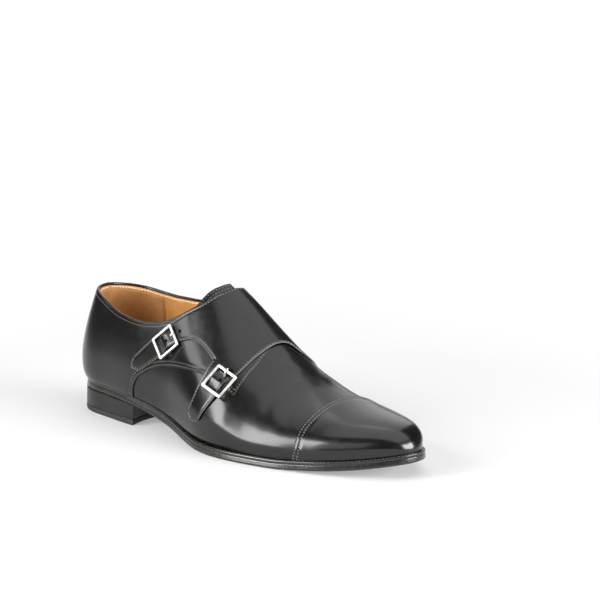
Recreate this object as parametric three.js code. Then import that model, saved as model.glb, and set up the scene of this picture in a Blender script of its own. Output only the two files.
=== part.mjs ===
// Right double monk strap shoe in millimetres: +X to the toe, +Y to the inner side of the foot,
// +Z up, standing on z = 0. Every form is a net over the shoe last, thickened into a closed solid.
import * as THREE from 'three';

// ---------------------------------------------------------------- driving sizes
const AXIS_X = -115;        // upright axis the heel ribs fan around
const HEEL_R = 33;          // turns heel angle into length along the feather line
const CAP_X = 92;           // here the toe starts to close
const TIP_X = 146;          // feather line at the toe tip
const LOW = 0.22;           // share of a rib below the widest line
const OUTSOLE = 4.0;        // leather outsole
const WELT = 1.85;          // welt
const GAP = 0.3;            // clearance between stacked pieces
const UPPER_WALL = 2.2;     // upper leather and lining together
const INSOLE_TOP = 3.0;     // insole stands this far above the feather line
const TOP_PIECE = 4.0;      // walking surface of the heel
const BREAST_X = -76;       // outer corner of the heel breast
const BREAST_TURN = 0.075;  // breast line runs forward to the inner side
const BREAST_HOLLOW = 7.5;  // depth of the curved breast
const HEEL_FLARE = 0.4;     // heel is wider at the floor near the breast
const PANEL_LIFT = 0.5;     // strap panel above the upper
const PANEL_THICK = 1.8;
const TONGUE_DEPTH = 0.6;   // clearance under the upper
const TONGUE_THICK = 1.6;
const BUCKLE = { along: 19.1, across: 18, bar: 2.3, thick: 1.9, corner: 1.6, lift: 1.3 };
const PRONG = { radius: 0.85, start: 4.2, reach: 10.3 };
const CENTRE = [0.53, -5.97]; // middle of the shoe's box seen from above, moved to x = y = 0

// ---------------------------------------------------------------- tables
const table = (names, rows) => {
  const keys = names.split(' ');
  return rows.map((row) => Object.fromEntries(keys.map((key, i) => [key, row[i]])));
};
const station = (turn, x) => (HEEL_R * turn * Math.PI) / 180 + (x - AXIS_X);

// Ribs of the last: heel turn in degrees, x, ridge line y, height of the ridge above the feather
// line, then for each side feather half width, bulge, height of the widest line and two handles.
const LAST = table('turn x ridge top lat lb lz l1 l2 med mb mz m1 m2', [
  [0, -115, 0.0, 110, 29.6, 4.0, 15, 0.28, 0.24, 29.6, 4.0, 15, 0.28, 0.24],
  [45, -115, 0.0, 110, 29.8, 3.6, 16, 0.30, 0.27, 29.8, 3.6, 16, 0.30, 0.27],
  [90, -115, 0.0, 110, 30.2, 3.0, 18, 0.36, 0.32, 30.0, 3.0, 18, 0.36, 0.32],
  [90, -95, -0.8, 111, 33.4, 2.5, 19, 0.39, 0.34, 31.0, 3.0, 20, 0.38, 0.34],
  [90, -80, -1.0, 113, 35.4, 2.5, 20, 0.40, 0.34, 30.6, 3.0, 22, 0.40, 0.36],
  [90, -60, -0.8, 110.5, 35.8, 3.2, 21, 0.40, 0.34, 26.5, 5.0, 25, 0.42, 0.36],
  [90, -40, -0.4, 107, 37.4, 4.0, 21, 0.39, 0.34, 22.5, 7.0, 26, 0.42, 0.36],
  [90, -20, 0.4, 99.5, 44.0, 4.3, 20, 0.36, 0.34, 21.5, 8.0, 26, 0.42, 0.36],
  [90, 0, 1.5, 88.5, 51.2, 4.0, 18, 0.34, 0.34, 25.0, 7.5, 24, 0.42, 0.36],
  [90, 20, 2.4, 73.0, 54.0, 2.9, 15, 0.335, 0.37, 32.0, 5.0, 20, 0.42, 0.38],
  [90, 40, 3.0, 57.0, 52.8, 0.8, 8.5, 0.28, 0.40, 38.5, 3.0, 17, 0.42, 0.42],
  [90, 65, 3.3, 41.3, 47.8, 0.4, 7, 0.37, 0.48, 42.5, 2.0, 15, 0.48, 0.48],
  [90, 92, 3.6, 30.3, 39.4, 0.4, 6, 0.48, 0.55, 41.0, 2.0, 12, 0.52, 0.55],
  [90, 120, 2.4, 23.5, 31.2, 0.5, 6, 0.53, 0.58, 34.8, 1.5, 11, 0.55, 0.58],
  [90, 146, 0.4, 20.0, 27.0, 0.5, 6, 0.54, 0.58, 28.5, 1.5, 10, 0.55, 0.58],
]).map((row) => ({ ...row, s: station(row.turn, row.x) }));

// Underside of the outsole above the floor: heel seat, arch, flat tread, toe spring.
const GROUND = table('x z', [
  [-150, 16.9], [-115, 16.6], [-95, 16.0], [-80, 14.9], [-60, 11.3], [-40, 6.4], [-20, 2.5],
  [0, 0.5], [15, -0.1], [62, -0.15], [92, 2.0], [120, 5.6], [150, 11.6],
]);

// How far the sole edge stands out from the feather line.
const EDGE = table('x w', [
  [-150, 1.0], [-80, 1.0], [-60, 1.2], [-40, 1.6], [-20, 2.4], [0, 3.4], [20, 4.0], [120, 4.0],
  [150, 3.6],
]);

// Topline of the upper as a share of the rib, outer side and inner side.
const TOPLINE = table('turn x lat med', [
  [0, -115, 0.568, 0.568], [45, -115, 0.557, 0.547], [90, -115, 0.508, 0.510],
  [90, -105, 0.479, 0.497], [90, -90, 0.451, 0.480], [90, -75, 0.445, 0.476],
  [90, -60, 0.474, 0.502], [90, -50, 0.512, 0.540], [90, -40, 0.574, 0.598],
  [90, -30, 0.662, 0.674], [90, -22, 0.754, 0.761], [90, -16, 0.852, 0.856],
  [90, -13, 0.930, 0.930], [90, -12, 1.0, 1.0],
]).map((row) => ({ ...row, s: station(row.turn, row.x) }));

// ---------------------------------------------------------------- small maths
const clamp = (v, lo, hi) => Math.min(hi, Math.max(lo, v));
const mix = (a, b, t) => a + (b - a) * t;
const bezier = (a, b, c, d, t) => {
  const s = 1 - t;
  return a * s * s * s + 3 * b * s * s * t + 3 * c * s * t * t + d * t * t * t;
};

// Smooth curve through table rows (cubic pieces, slopes from the neighbours).
function read(rows, key, name, at) {
  const n = rows.length;
  const step = (i) => rows[i + 1][key] - rows[i][key];
  const rise = (i) => (rows[i + 1][name] - rows[i][name]) / step(i);
  const slope = (i) => {
    if (i === 0) return rise(0);
    if (i === n - 1) return rise(n - 2);
    return (rise(i - 1) * step(i) + rise(i) * step(i - 1)) / (step(i) + step(i - 1));
  };
  let i = 0;
  while (i < n - 2 && at > rows[i + 1][key]) i += 1;
  const h = step(i);
  const t = clamp((at - rows[i][key]) / h, -1, 2);
  const s = 1 - t;
  return (1 + 2 * t) * s * s * rows[i][name] + t * s * s * h * slope(i)
    + t * t * (3 - 2 * t) * rows[i + 1][name] - t * t * s * h * slope(i + 1);
}

// Straight lines between table rows.
function line(rows, key, name, at) {
  let i = 0;
  while (i < rows.length - 2 && at > rows[i + 1][key]) i += 1;
  const t = clamp((at - rows[i][key]) / (rows[i + 1][key] - rows[i][key]), 0, 1);
  return mix(rows[i][name], rows[i + 1][name], t);
}

const ground = (x) => Math.max(0, read(GROUND, 'x', 'z', x));
const FEATHER = OUTSOLE + WELT + 0.5;  // feather line above the underside of the outsole

// ---------------------------------------------------------------- the last
const FAN = (HEEL_R * Math.PI) / 2;
const TOE = ((TIP_X - CAP_X) * Math.PI) / 2;
const U_CAP = FAN + CAP_X - AXIS_X;
const U_END = U_CAP + TOE;

// Point of the last: side -1 outer or +1 inner, u along the feather line from the heel back to the
// toe tip, v from the feather line (0) over the widest line (LOW) to the ridge (1).
function last(side, u, v) {
  const turn = clamp(u / HEEL_R, 0, Math.PI / 2);
  const close = (clamp((u - U_CAP) / TOE, 0, 1) * Math.PI) / 2;
  let x = AXIS_X;
  if (u >= FAN) x = u < U_CAP ? u - FAN + AXIS_X : CAP_X + (TIP_X - CAP_X) * Math.sin(close);
  const s = u < FAN ? u : FAN + x - AXIS_X;
  const far = clamp((x - CAP_X) / (TIP_X - CAP_X), 0, 1);
  const wide = Math.cos(close);
  const high = Math.sqrt(1 - far ** 4);
  const rib = (name) => read(LAST, 's', name, s);
  const [half, b, w, one, two] = side < 0 ? ['lat', 'lb', 'lz', 'l1', 'l2'] : ['med', 'mb', 'mz', 'm1', 'm2'];
  const ridge = rib('ridge');
  const foot = (rib(half) - side * ridge) * wide;
  const bulge = rib(b) * wide;
  const widest = foot + bulge;
  const top = rib('top') * high;
  const mid = Math.min(rib(w) * high, top * 0.6);
  let r;
  let z;
  if (v < LOW) {
    const t = v / LOW;
    r = bezier(foot, foot + 0.75 * bulge, widest, widest, t);
    z = bezier(0, 0.18 * mid, 0.5 * mid, mid, t);
  } else {
    const t = (v - LOW) / (1 - LOW);
    r = bezier(widest, widest, rib(two) * widest, 0, t);
    z = bezier(mid, mid + rib(one) * (top - mid), top, top, t);
  }
  const c = Math.cos(turn);
  const sn = Math.sin(turn);
  return new THREE.Vector3(x - r * c, ridge * sn + side * r * sn, ground(x - foot * c) + FEATHER + z);
}

// The same surface over the whole girth: g = 0 outer feather line, 1 ridge, 2 inner feather line.
const around = (x, g) => last(g <= 1 ? -1 : 1, FAN + x - AXIS_X, g <= 1 ? g : 2 - g);

// Feather line moved outwards in plan by some width that depends on x.
function outline(side, u, offset) {
  const e = 0.05;
  const a = last(side, clamp(u - e, 0, U_END), 0);
  const b = last(side, clamp(u + e, 0, U_END), 0);
  const p = last(side, u, 0);
  const along = new THREE.Vector2(b.x - a.x, b.y - a.y);
  let out = new THREE.Vector2(along.y, -along.x).multiplyScalar(-side);
  if (u < 1e-6) out = new THREE.Vector2(-1, 0);
  if (u > U_END - 1e-6) out = new THREE.Vector2(1, 0);
  out.normalize().multiplyScalar(offset(p.x));
  return new THREE.Vector2(p.x + out.x, p.y + out.y);
}

const spread = (from, to, n) => Array.from({ length: n + 1 }, (_, i) => mix(from, to, i / n));
const at = (x) => FAN + x - AXIS_X;
const chain = (...parts) => parts.flatMap((part, i) => (i ? part.slice(1) : part));

// ---------------------------------------------------------------- nets and solids
// A net is a list of points and triangles; points that coincide become one.
function net(patches) {
  const points = [];
  const index = new Map();
  const faces = [];
  const id = (p) => {
    const key = `${p.x.toFixed(3)},${p.y.toFixed(3)},${p.z.toFixed(3)}`;
    if (!index.has(key)) { index.set(key, points.length); points.push(p); }
    return index.get(key);
  };
  const face = (a, b, c) => { if (a !== b && b !== c && c !== a) faces.push([a, b, c]); };
  for (const rows of patches) {
    const ids = rows.map((row) => row.map(id));
    for (let i = 0; i + 1 < ids.length; i += 1) {
      for (let j = 0; j + 1 < ids[i].length; j += 1) {
        const [a, b, c, d] = [ids[i][j], ids[i][j + 1], ids[i + 1][j + 1], ids[i + 1][j]];
        if (points[a].distanceTo(points[c]) <= points[b].distanceTo(points[d])) {
          face(a, b, c); face(a, c, d);
        } else {
          face(a, b, d); face(b, c, d);
        }
      }
    }
  }
  return { points, faces };
}

function normals({ points, faces }) {
  const sum = points.map(() => new THREE.Vector3());
  for (const [a, b, c] of faces) {
    const ab = points[b].clone().sub(points[a]);
    const ac = points[c].clone().sub(points[a]);
    const n = ab.cross(ac);
    for (const k of [a, b, c]) sum[k].add(n);
  }
  return sum.map((n) => n.normalize());
}

// Closed body between two copies of a net: `upper` keeps the winding, `lower` is turned over and
// free edges are joined by a rim.
function solid({ points, faces }, upper, lower) {
  const n = points.length;
  const index = [];
  const edges = new Map();
  for (const [a, b, c] of faces) {
    index.push(a, b, c, a + n, c + n, b + n);
    for (const [p, q] of [[a, b], [b, c], [c, a]]) {
      if (edges.has(`${q},${p}`)) edges.delete(`${q},${p}`);
      else edges.set(`${p},${q}`, [p, q]);
    }
  }
  for (const [p, q] of edges.values()) index.push(p, p + n, q + n, p, q + n, q);
  const geometry = new THREE.BufferGeometry();
  const all = [...points.map(upper), ...points.map(lower)].flatMap((p) => [p.x, p.y, p.z]);
  geometry.setAttribute('position', new THREE.Float32BufferAttribute(all, 3));
  geometry.setIndex(index);
  return geometry;
}

// Sheet on the last, from `low` to `high` along the surface normal. Points on the feather line
// move in plan only, so the sheet's foot stays level.
function sheet(surface, low, high, level = () => false) {
  const way = normals(surface);
  const move = (h) => (p, i) => {
    const n = way[i].clone();
    if (level(i)) n.setZ(0).normalize();
    return p.clone().addScaledVector(n, h);
  };
  return solid(surface, move(high), move(low));
}

// Net over the sole plan: outer line to inner line at each station, `count` steps across.
function planNet(stations, offset, count) {
  return net([stations.map((u) => {
    const a = outline(-1, u, offset);
    const b = outline(1, u, offset);
    return spread(1, 0, count).map((t) => new THREE.Vector3(mix(a.x, b.x, t), mix(a.y, b.y, t), 0));
  })]);
}
const level = (height) => (p) => new THREE.Vector3(p.x, p.y, height(p.x));

// ---------------------------------------------------------------- sole
const SOLE_STATIONS = chain(spread(0, FAN, 7), spread(FAN, at(-20), 9), spread(at(-20), U_CAP, 9),
  spread(U_CAP, U_END, 9));
const edge = (x) => line(EDGE, 'x', 'w', x);

const outsole = solid(planNet(SOLE_STATIONS, edge, 5),
  level((x) => ground(x) + OUTSOLE), level(ground));

const insole = solid(planNet(SOLE_STATIONS, () => -(UPPER_WALL + 0.45), 5),
  level((x) => ground(x) + FEATHER + INSOLE_TOP), level((x) => ground(x) + OUTSOLE + GAP));

// The welt is a ring from the sole edge to just under the upper.
function weltNet() {
  const inner = (side) => SOLE_STATIONS.map((u) => [
    outline(side, u, edge), outline(side, u, () => -(UPPER_WALL + 0.1)),
  ].map((p) => new THREE.Vector3(p.x, p.y, 0)));
  return net([inner(-1).map((pair) => pair.reverse()), inner(1)]);
}
const welt = solid(weltNet(), level((x) => ground(x) + FEATHER - 0.2),
  level((x) => ground(x) + OUTSOLE + GAP));

// Heel: chords from the outer to the inner line, bent forward into the hollow breast.
function heelNet() {
  const reach = (side) => {
    let u = FAN;
    while (breast(outline(side, u, edge)) < 0) u += 0.25;
    return u;
  };
  const ends = [reach(-1), reach(1)];
  const rows = spread(0, 1, 12).map((p) => {
    const [a, b] = [-1, 1].map((side, k) => outline(side, p * ends[k], edge));
    return spread(1, 0, 6).map((t) => {
      const hollow = BREAST_HOLLOW * p ** 3 * (1 - (2 * t - 1) ** 2);
      return new THREE.Vector3(mix(a.x, b.x, t) - hollow, mix(a.y, b.y, t), 0);
    });
  });
  return net([rows]);
}
function breast(p) { return p.x - BREAST_X - BREAST_TURN * (p.y + 39); }
const flare = (height, share) => (p) => {
  const k = 1 + (HEEL_FLARE / 36) * share * clamp((p.x + 125) / 50, 0, 1);
  return new THREE.Vector3(p.x, p.y * k, height(p.x));
};
const heelPlan = heelNet();
const heelStack = solid(heelPlan, flare((x) => ground(x) - GAP, 0), flare(() => TOP_PIECE + GAP, 0.8));
const heelTopPiece = solid(heelPlan, flare(() => TOP_PIECE, 0.8), flare(() => 0, 1));

// ---------------------------------------------------------------- upper
const UPPER_STATIONS = chain(spread(0, FAN, 6), spread(FAN, at(-75), 4), spread(at(-75), at(-30), 6),
  [at(-30), at(-22), at(-17), at(-14.2), at(-12.6), at(-12)], spread(at(-12), U_CAP, 13),
  spread(U_CAP, U_END, 7));
const RIB_SHARES = [0, 0.05, 0.12, 0.20, 0.29, 0.38, 0.47, 0.56, 0.65, 0.74, 0.82, 0.89, 0.95, 1];

function upperNet() {
  const reach = (side, u) => (u >= at(-12) - 1e-6 ? 1 : read(TOPLINE, 's', side < 0 ? 'lat' : 'med', u));
  const half = (side) => UPPER_STATIONS.map((u) => {
    const row = RIB_SHARES.map((w) => last(side, u, w * Math.min(1, reach(side, u))));
    return side < 0 ? row : row.reverse();
  });
  const turned = (rows) => rows.map((row) => [...row].reverse());
  return net([turned(half(-1)), turned(half(1))]);
}
const upperSurface = upperNet();
const onFeather = upperSurface.points.map((p) => Math.abs(p.z - ground(p.x) - FEATHER) < 0.02);
const upper = sheet(upperSurface, -UPPER_WALL, 0, (i) => onFeather[i]);

// ---------------------------------------------------------------- tongue
const TONGUE_TOP = table('g x', [
  [0.62, -33], [0.70, -30], [0.80, -26], [0.90, -21.5], [1.0, -19.5], [1.1, -21.5], [1.2, -26],
  [1.3, -31], [1.38, -35],
]);
const TONGUE_ROOT_X = 46;
const tongueSurface = net([spread(0, 1, 11).map((t) => spread(1.38, 0.62, 18)
  .map((g) => around(mix(read(TONGUE_TOP, 'g', 'x', g), TONGUE_ROOT_X, t), g)))]);
const tongueDepth = UPPER_WALL + TONGUE_DEPTH;
const tongue = sheet(tongueSurface, -(tongueDepth + TONGUE_THICK), -tongueDepth);

// ---------------------------------------------------------------- strap panel
// Corner lines of the panel, each a row of [x, girth share]: it crosses the instep from the inner
// side and ends in two straps with a scallop between them.
const PANEL = {
  rear: [[-38.5, 1.41], [-28.5, 1.335], [-20.5, 1.25], [-15, 1.155], [-12.2, 1.07], [-11, 1.0],
    [-12.8, 0.92], [-15.5, 0.845], [-19.6, 0.765], [-25, 0.69], [-30.5, 0.635], [-38, 0.565], [-45, 0.512]],
  front: [[36, 1.42], [38.5, 1.32], [39, 1.22], [36.5, 1.13], [32.3, 1.06], [29.6, 0.97], [27.8, 0.88],
    [26.6, 0.8], [25.2, 0.72], [24, 0.66], [22.8, 0.61], [22, 0.575]],
  inner: [[-38.5, 1.41], [-20, 1.45], [0, 1.47], [20, 1.45], [36, 1.42]],
  scallop: [[-31, 0.487], [-26, 0.515], [-21, 0.541], [-15.5, 0.556], [-10.5, 0.562], [-4, 0.56],
    [2.9, 0.552]],
};
const STRAPS = {
  rear: {
    root: [[-45, 0.512], [-38, 0.5], [-31, 0.487]],
    back: [[-45, 0.512], [-53.5, 0.44], [-62.5, 0.366], [-73.2, 0.288]],
    fore: [[-31, 0.487], [-41, 0.405], [-53, 0.322], [-66.5, 0.236]],
    tip: [[-73.2, 0.288], [-74.6, 0.262], [-75, 0.236], [-71, 0.234], [-66.5, 0.236]],
    buckle: { x: -42.6, g: 0.436, turn: 246.5, tilt: -4 },
  },
  front: {
    root: [[2.9, 0.552], [12, 0.567], [22, 0.575]],
    back: [[2.9, 0.552], [0.8, 0.46], [-1.6, 0.37], [-5, 0.275], [-7, 0.23]],
    fore: [[22, 0.575], [18.5, 0.49], [14.7, 0.401], [9.5, 0.3], [5, 0.212]],
    tip: [[-7, 0.23], [-5, 0.205], [-2.5, 0.188], [1, 0.192], [5, 0.212]],
    buckle: { x: 14.8, g: 0.487, turn: 275, tilt: -4 },
  },
};

// Smooth line through [x, g] points; t runs from the first to the last.
function path(points) {
  const spline = new THREE.SplineCurve(points.map(([x, g]) => new THREE.Vector2(x, g)));
  return (t) => spline.getPoint(t);
}

// Patch filled in between four lines: `start` and `end` run with t, `left` and `right` with s.
function fill(start, end, left, right, rows, columns) {
  const c = [start(0), start(1), end(0), end(1)];
  return spread(0, 1, rows).map((s) => columns.map((t) => {
    const p = (k) => mix(start(t)[k], end(t)[k], s) + mix(left(s)[k], right(s)[k], t)
      - mix(mix(c[0][k], c[1][k], t), mix(c[2][k], c[3][k], t), s);
    return around(p('x'), p('y'));
  }).reverse());
}

function panelNet() {
  const [rear, fore] = [STRAPS.rear, STRAPS.front];
  const parts = [[path(rear.root), 4], [path(PANEL.scallop), 8], [path(fore.root), 5]];
  const total = parts.reduce((sum, [, n]) => sum + n, 0);
  const edgeLine = (t) => {
    let k = t * total;
    for (const [curve, n] of parts) {
      if (k <= n + 1e-9) return curve(Math.min(1, k / n));
      k -= n;
    }
    return parts[2][0](1);
  };
  const body = fill(path(PANEL.inner), edgeLine, path(PANEL.rear), path(PANEL.front), 24,
    spread(0, 1, total));
  const straps = [[rear, 4, 9], [fore, 5, 9]].map(([strap, across, along]) => fill(path(strap.root),
    path(strap.tip), path(strap.back), path(strap.fore), along, spread(0, 1, across)));
  return net([body, ...straps]);
}
const panelSurface = panelNet();
const strapPanel = sheet(panelSurface, PANEL_LIFT, PANEL_LIFT + PANEL_THICK);

// ---------------------------------------------------------------- buckles
// Flat coordinates on the strap: a runs along it towards the tip, b across it, h off the upper.
function strapFrame({ x, g, turn, tilt }) {
  const e = 0.01;
  const p = around(x, g);
  const px = around(x + 1, g).sub(around(x - 1, g));
  const pg = around(x, g + e).sub(around(x, g - e));
  const away = px.clone().cross(pg).normalize();
  if (away.y * (p.y < 0 ? -1 : 1) < 0) away.negate();
  const one = px.normalize();
  const two = away.clone().cross(one);
  const [c, s] = [Math.cos((turn * Math.PI) / 180), Math.sin((turn * Math.PI) / 180)];
  const across = one.clone().multiplyScalar(-s).addScaledVector(two, c);
  const along = one.clone().multiplyScalar(c).addScaledVector(two, s).applyAxisAngle(across, (tilt * Math.PI) / 180);
  const up = away.applyAxisAngle(across, (tilt * Math.PI) / 180);
  return (a, b, h) => p.clone().addScaledVector(along, a).addScaledVector(across, b).addScaledVector(up, h);
}

// Body swept along centre points with a cross section of [side, height] points.
function sweep(centres, sides, ups, section, closed) {
  const rows = centres.map((p, i) => [...section, section[0]].map(([w, h]) => p.clone()
    .addScaledVector(sides[i], w).addScaledVector(ups[i], h)));
  if (closed) rows.push(rows[0]);
  else {
    rows.unshift(rows[0].map(() => centres[0]));
    rows.push(rows[rows.length - 1].map(() => centres[centres.length - 1]));
  }
  const { points, faces } = net([rows]);
  const geometry = new THREE.BufferGeometry();
  geometry.setAttribute('position', new THREE.Float32BufferAttribute(points.flatMap((p) => [p.x, p.y, p.z]), 3));
  geometry.setIndex(faces.flatMap(([a, b, c]) => [a, c, b]));
  return geometry;
}

const STRAP_TOP = PANEL_LIFT + PANEL_THICK;

function buckle(place) {
  const { along, across, bar, thick, corner, lift } = BUCKLE;
  const on = strapFrame(place);
  const [ha, hb] = [(along - bar) / 2, (across - bar) / 2];
  const flat = [];
  [[1, 1], [-1, 1], [-1, -1], [1, -1]].forEach(([sa, sb], k) => {
    spread(0, 90, 3).forEach((d) => {
      const w = ((d + 90 * k) * Math.PI) / 180;
      flat.push([sa * (ha - corner) + corner * Math.cos(w), sb * (hb - corner) + corner * Math.sin(w)]);
    });
    const next = [[-1, 1], [-1, -1], [1, -1], [1, 1]][k];
    flat.push([((sa + next[0]) / 2) * ha, ((sb + next[1]) / 2) * hb]);
  });
  const height = STRAP_TOP + lift + thick / 2;
  const centres = flat.map(([a, b]) => on(a, b, height));
  const n = centres.length;
  const up = on(0, 0, 1).sub(on(0, 0, 0)).normalize();
  const sides = centres.map((p, i) => centres[(i + 1) % n].clone().sub(centres[(i + n - 1) % n])
    .cross(up).normalize());
  const [w, t] = [bar / 2, thick / 2];
  const section = [[w, -t * 0.5], [w, t * 0.5], [w * 0.55, t], [-w * 0.55, t], [-w, t * 0.5],
    [-w, -t * 0.5], [-w * 0.55, -t], [w * 0.55, -t]];
  return sweep(centres, sides, centres.map(() => up), section, true);
}

function prong(place) {
  const on = strapFrame(place);
  const { radius, start, reach } = PRONG;
  const base = STRAP_TOP + BUCKLE.lift;
  const high = base + BUCKLE.thick + 0.1 + radius;
  const rise = table('a h', [[-start, base], [-start - 1, base + 0.15], [-6.4, mix(base, high, 0.46)],
    [-7.4, high - 0.05], [-9.0, high + 0.05], [-reach, high - 0.05]]);
  const centres = rise.map(({ a, h }) => on(a, 0, h));
  const up = on(0, 0, 1).sub(on(0, 0, 0)).normalize();
  const sides = centres.map((p, i) => centres[Math.min(i + 1, centres.length - 1)].clone()
    .sub(centres[Math.max(i - 1, 0)]).cross(up).normalize());
  const section = spread(0, 2 * Math.PI, 10).slice(0, 10)
    .map((w) => [radius * Math.cos(w), radius * Math.sin(w)]);
  return sweep(centres, sides, centres.map(() => up), section, false);
}

// ---------------------------------------------------------------- assembly
const look = (color, roughness, metalness = 0) => new THREE.MeshStandardMaterial({ color, roughness, metalness });
const pieces = [
  ['outsole', outsole, look(0x241f1d, 0.55)],
  ['welt', welt, look(0x2a2422, 0.5)],
  ['heel_stack', heelStack, look(0x1f1b1a, 0.5)],
  ['heel_top_piece', heelTopPiece, look(0x151414, 0.8)],
  ['insole', insole, look(0xc98f52, 0.7)],
  ['upper', upper, look(0x1b1919, 0.32)],
  ['tongue', tongue, look(0x1b1919, 0.4)],
  ['strap_panel', strapPanel, look(0x1b1919, 0.32)],
  ['buckle_rear', buckle(STRAPS.rear.buckle), look(0xc9c9c9, 0.2, 1)],
  ['buckle_front', buckle(STRAPS.front.buckle), look(0xc9c9c9, 0.2, 1)],
  ['prong_rear', prong(STRAPS.rear.buckle), look(0xc9c9c9, 0.25, 1)],
  ['prong_front', prong(STRAPS.front.buckle), look(0xc9c9c9, 0.25, 1)],
];

const shoe = new THREE.Group();
for (const [name, geometry, material] of pieces) {
  const mesh = new THREE.Mesh(geometry, material);
  mesh.name = name;
  geometry.translate(-CENTRE[0], -CENTRE[1], 0);
  shoe.add(mesh);
}

export default shoe;
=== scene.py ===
"""Looks of the right double monk strap shoe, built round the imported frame.

Every leather piece lies on the shoe last: a surface with the coordinates u (millimetres along the
feather line from the heel back to the toe tip) and g (share of the girth: 0 outer feather line,
1 ridge, 2 inner feather line). Lines and grids on the last are arrays of (u, g). Heights h are
millimetres off the last. Tables give the station x in millimetres instead of u.
"""
import bpy
import numpy as np
from mathutils import Matrix, Vector


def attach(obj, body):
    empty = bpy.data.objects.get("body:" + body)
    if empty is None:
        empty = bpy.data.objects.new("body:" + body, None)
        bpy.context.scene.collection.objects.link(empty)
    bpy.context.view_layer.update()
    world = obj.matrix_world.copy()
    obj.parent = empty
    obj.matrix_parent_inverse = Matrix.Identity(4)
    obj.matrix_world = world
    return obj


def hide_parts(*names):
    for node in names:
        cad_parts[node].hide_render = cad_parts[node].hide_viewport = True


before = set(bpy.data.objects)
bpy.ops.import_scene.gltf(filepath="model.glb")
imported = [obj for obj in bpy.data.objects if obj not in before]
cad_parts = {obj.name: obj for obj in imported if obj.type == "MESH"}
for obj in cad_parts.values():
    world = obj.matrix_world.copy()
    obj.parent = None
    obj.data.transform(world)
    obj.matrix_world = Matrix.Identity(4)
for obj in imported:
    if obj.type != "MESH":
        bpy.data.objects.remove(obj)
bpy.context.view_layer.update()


# ---------------------------------------------------------------- small helpers
def read(xs, ys, x):
    """Cubic pieces through table rows, with slopes from the neighbouring rows."""
    xs, ys, x = np.asarray(xs, float), np.asarray(ys, float), np.asarray(x, float)
    h = np.diff(xs)
    d = np.diff(ys) / h
    m = np.empty_like(ys)
    m[1:-1] = (d[:-1] * h[1:] + d[1:] * h[:-1]) / (h[1:] + h[:-1])
    m[0], m[-1] = d[0], d[-1]
    i = np.clip(np.searchsorted(xs, x) - 1, 0, len(xs) - 2)
    t = np.clip((x - xs[i]) / h[i], 0, 1)
    return ((1 + 2 * t) * (1 - t) ** 2 * ys[i] + t * (1 - t) ** 2 * h[i] * m[i]
            + t * t * (3 - 2 * t) * ys[i + 1] + t * t * (t - 1) * h[i] * m[i + 1])


def bezier(a, b, c, d, t):
    """Cubic arc from a to d that leaves towards b and arrives from c."""
    s = 1 - t
    return a * s ** 3 + 3 * b * s * s * t + 3 * c * s * t * t + d * t ** 3


def smooth(t):
    """Soft step from 0 to 1: three t squared less two t cubed."""
    t = np.clip(t, 0, 1)
    return t * t * (3 - 2 * t)


def unit(v):
    """Vectors brought to length one."""
    return v / (np.linalg.norm(v, axis=-1, keepdims=True) + 1e-12)


def run(points):
    """Length along a line of points up to each of them."""
    return np.concatenate([[0], np.cumsum(np.linalg.norm(np.diff(points, axis=0), axis=1))])


def pick(t, marks, rows):
    """Rows read at t, straight in between the marks they stand at."""
    return np.stack([np.interp(t, marks, rows[:, k]) for k in range(rows.shape[1])], -1)


def at_share(line, t):
    """Point of a line of points at share t of its way."""
    return pick(t, np.linspace(0, 1, len(line)), line)


def blur(a, width, axis):
    """Mean over neighbours with bell shaped weights; past the ends the last row repeats."""
    reach = int(width * 3)
    weights = np.exp(-.5 * (np.arange(-reach, reach + 1) / width) ** 2)
    weights /= weights.sum()
    a = np.moveaxis(a, axis, 0)
    rows = np.arange(len(a))
    out = sum(w * a[np.clip(rows + k, 0, len(a) - 1)] for k, w in zip(range(-reach, reach + 1), weights))
    return np.moveaxis(out, 0, axis)


def evened(a, width, axis):
    """Blurred, then given back the blur of what the first pass took away."""
    first = blur(a, width, axis)
    return first + blur(a - first, width, axis)


def ring(n):
    """Angles of n points round a circle."""
    return np.linspace(0, 2 * np.pi, n + 1)[:-1]


# ---------------------------------------------------------------- the last
AXIS_X, HEEL_R, CAP_X, TIP_X = -115.0, 33.0, 92.0, 146.0
LOW = 0.22            # share of a rib below its widest line
FEATHER = 6.35        # feather line above the underside of the sole
CENTRE = np.array([0.53, -5.97, 0.0])
GIRTH = 80.0          # millimetres across the last to one unit of g, about, for measuring lines
WIDE_GIRTH = 82.0     # the same where the shoe is wider, for creases and the heel grip
FAN = HEEL_R * np.pi / 2
TOE = (TIP_X - CAP_X) * np.pi / 2
U_CAP = FAN + CAP_X - AXIS_X
U_END = U_CAP + TOE

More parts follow.
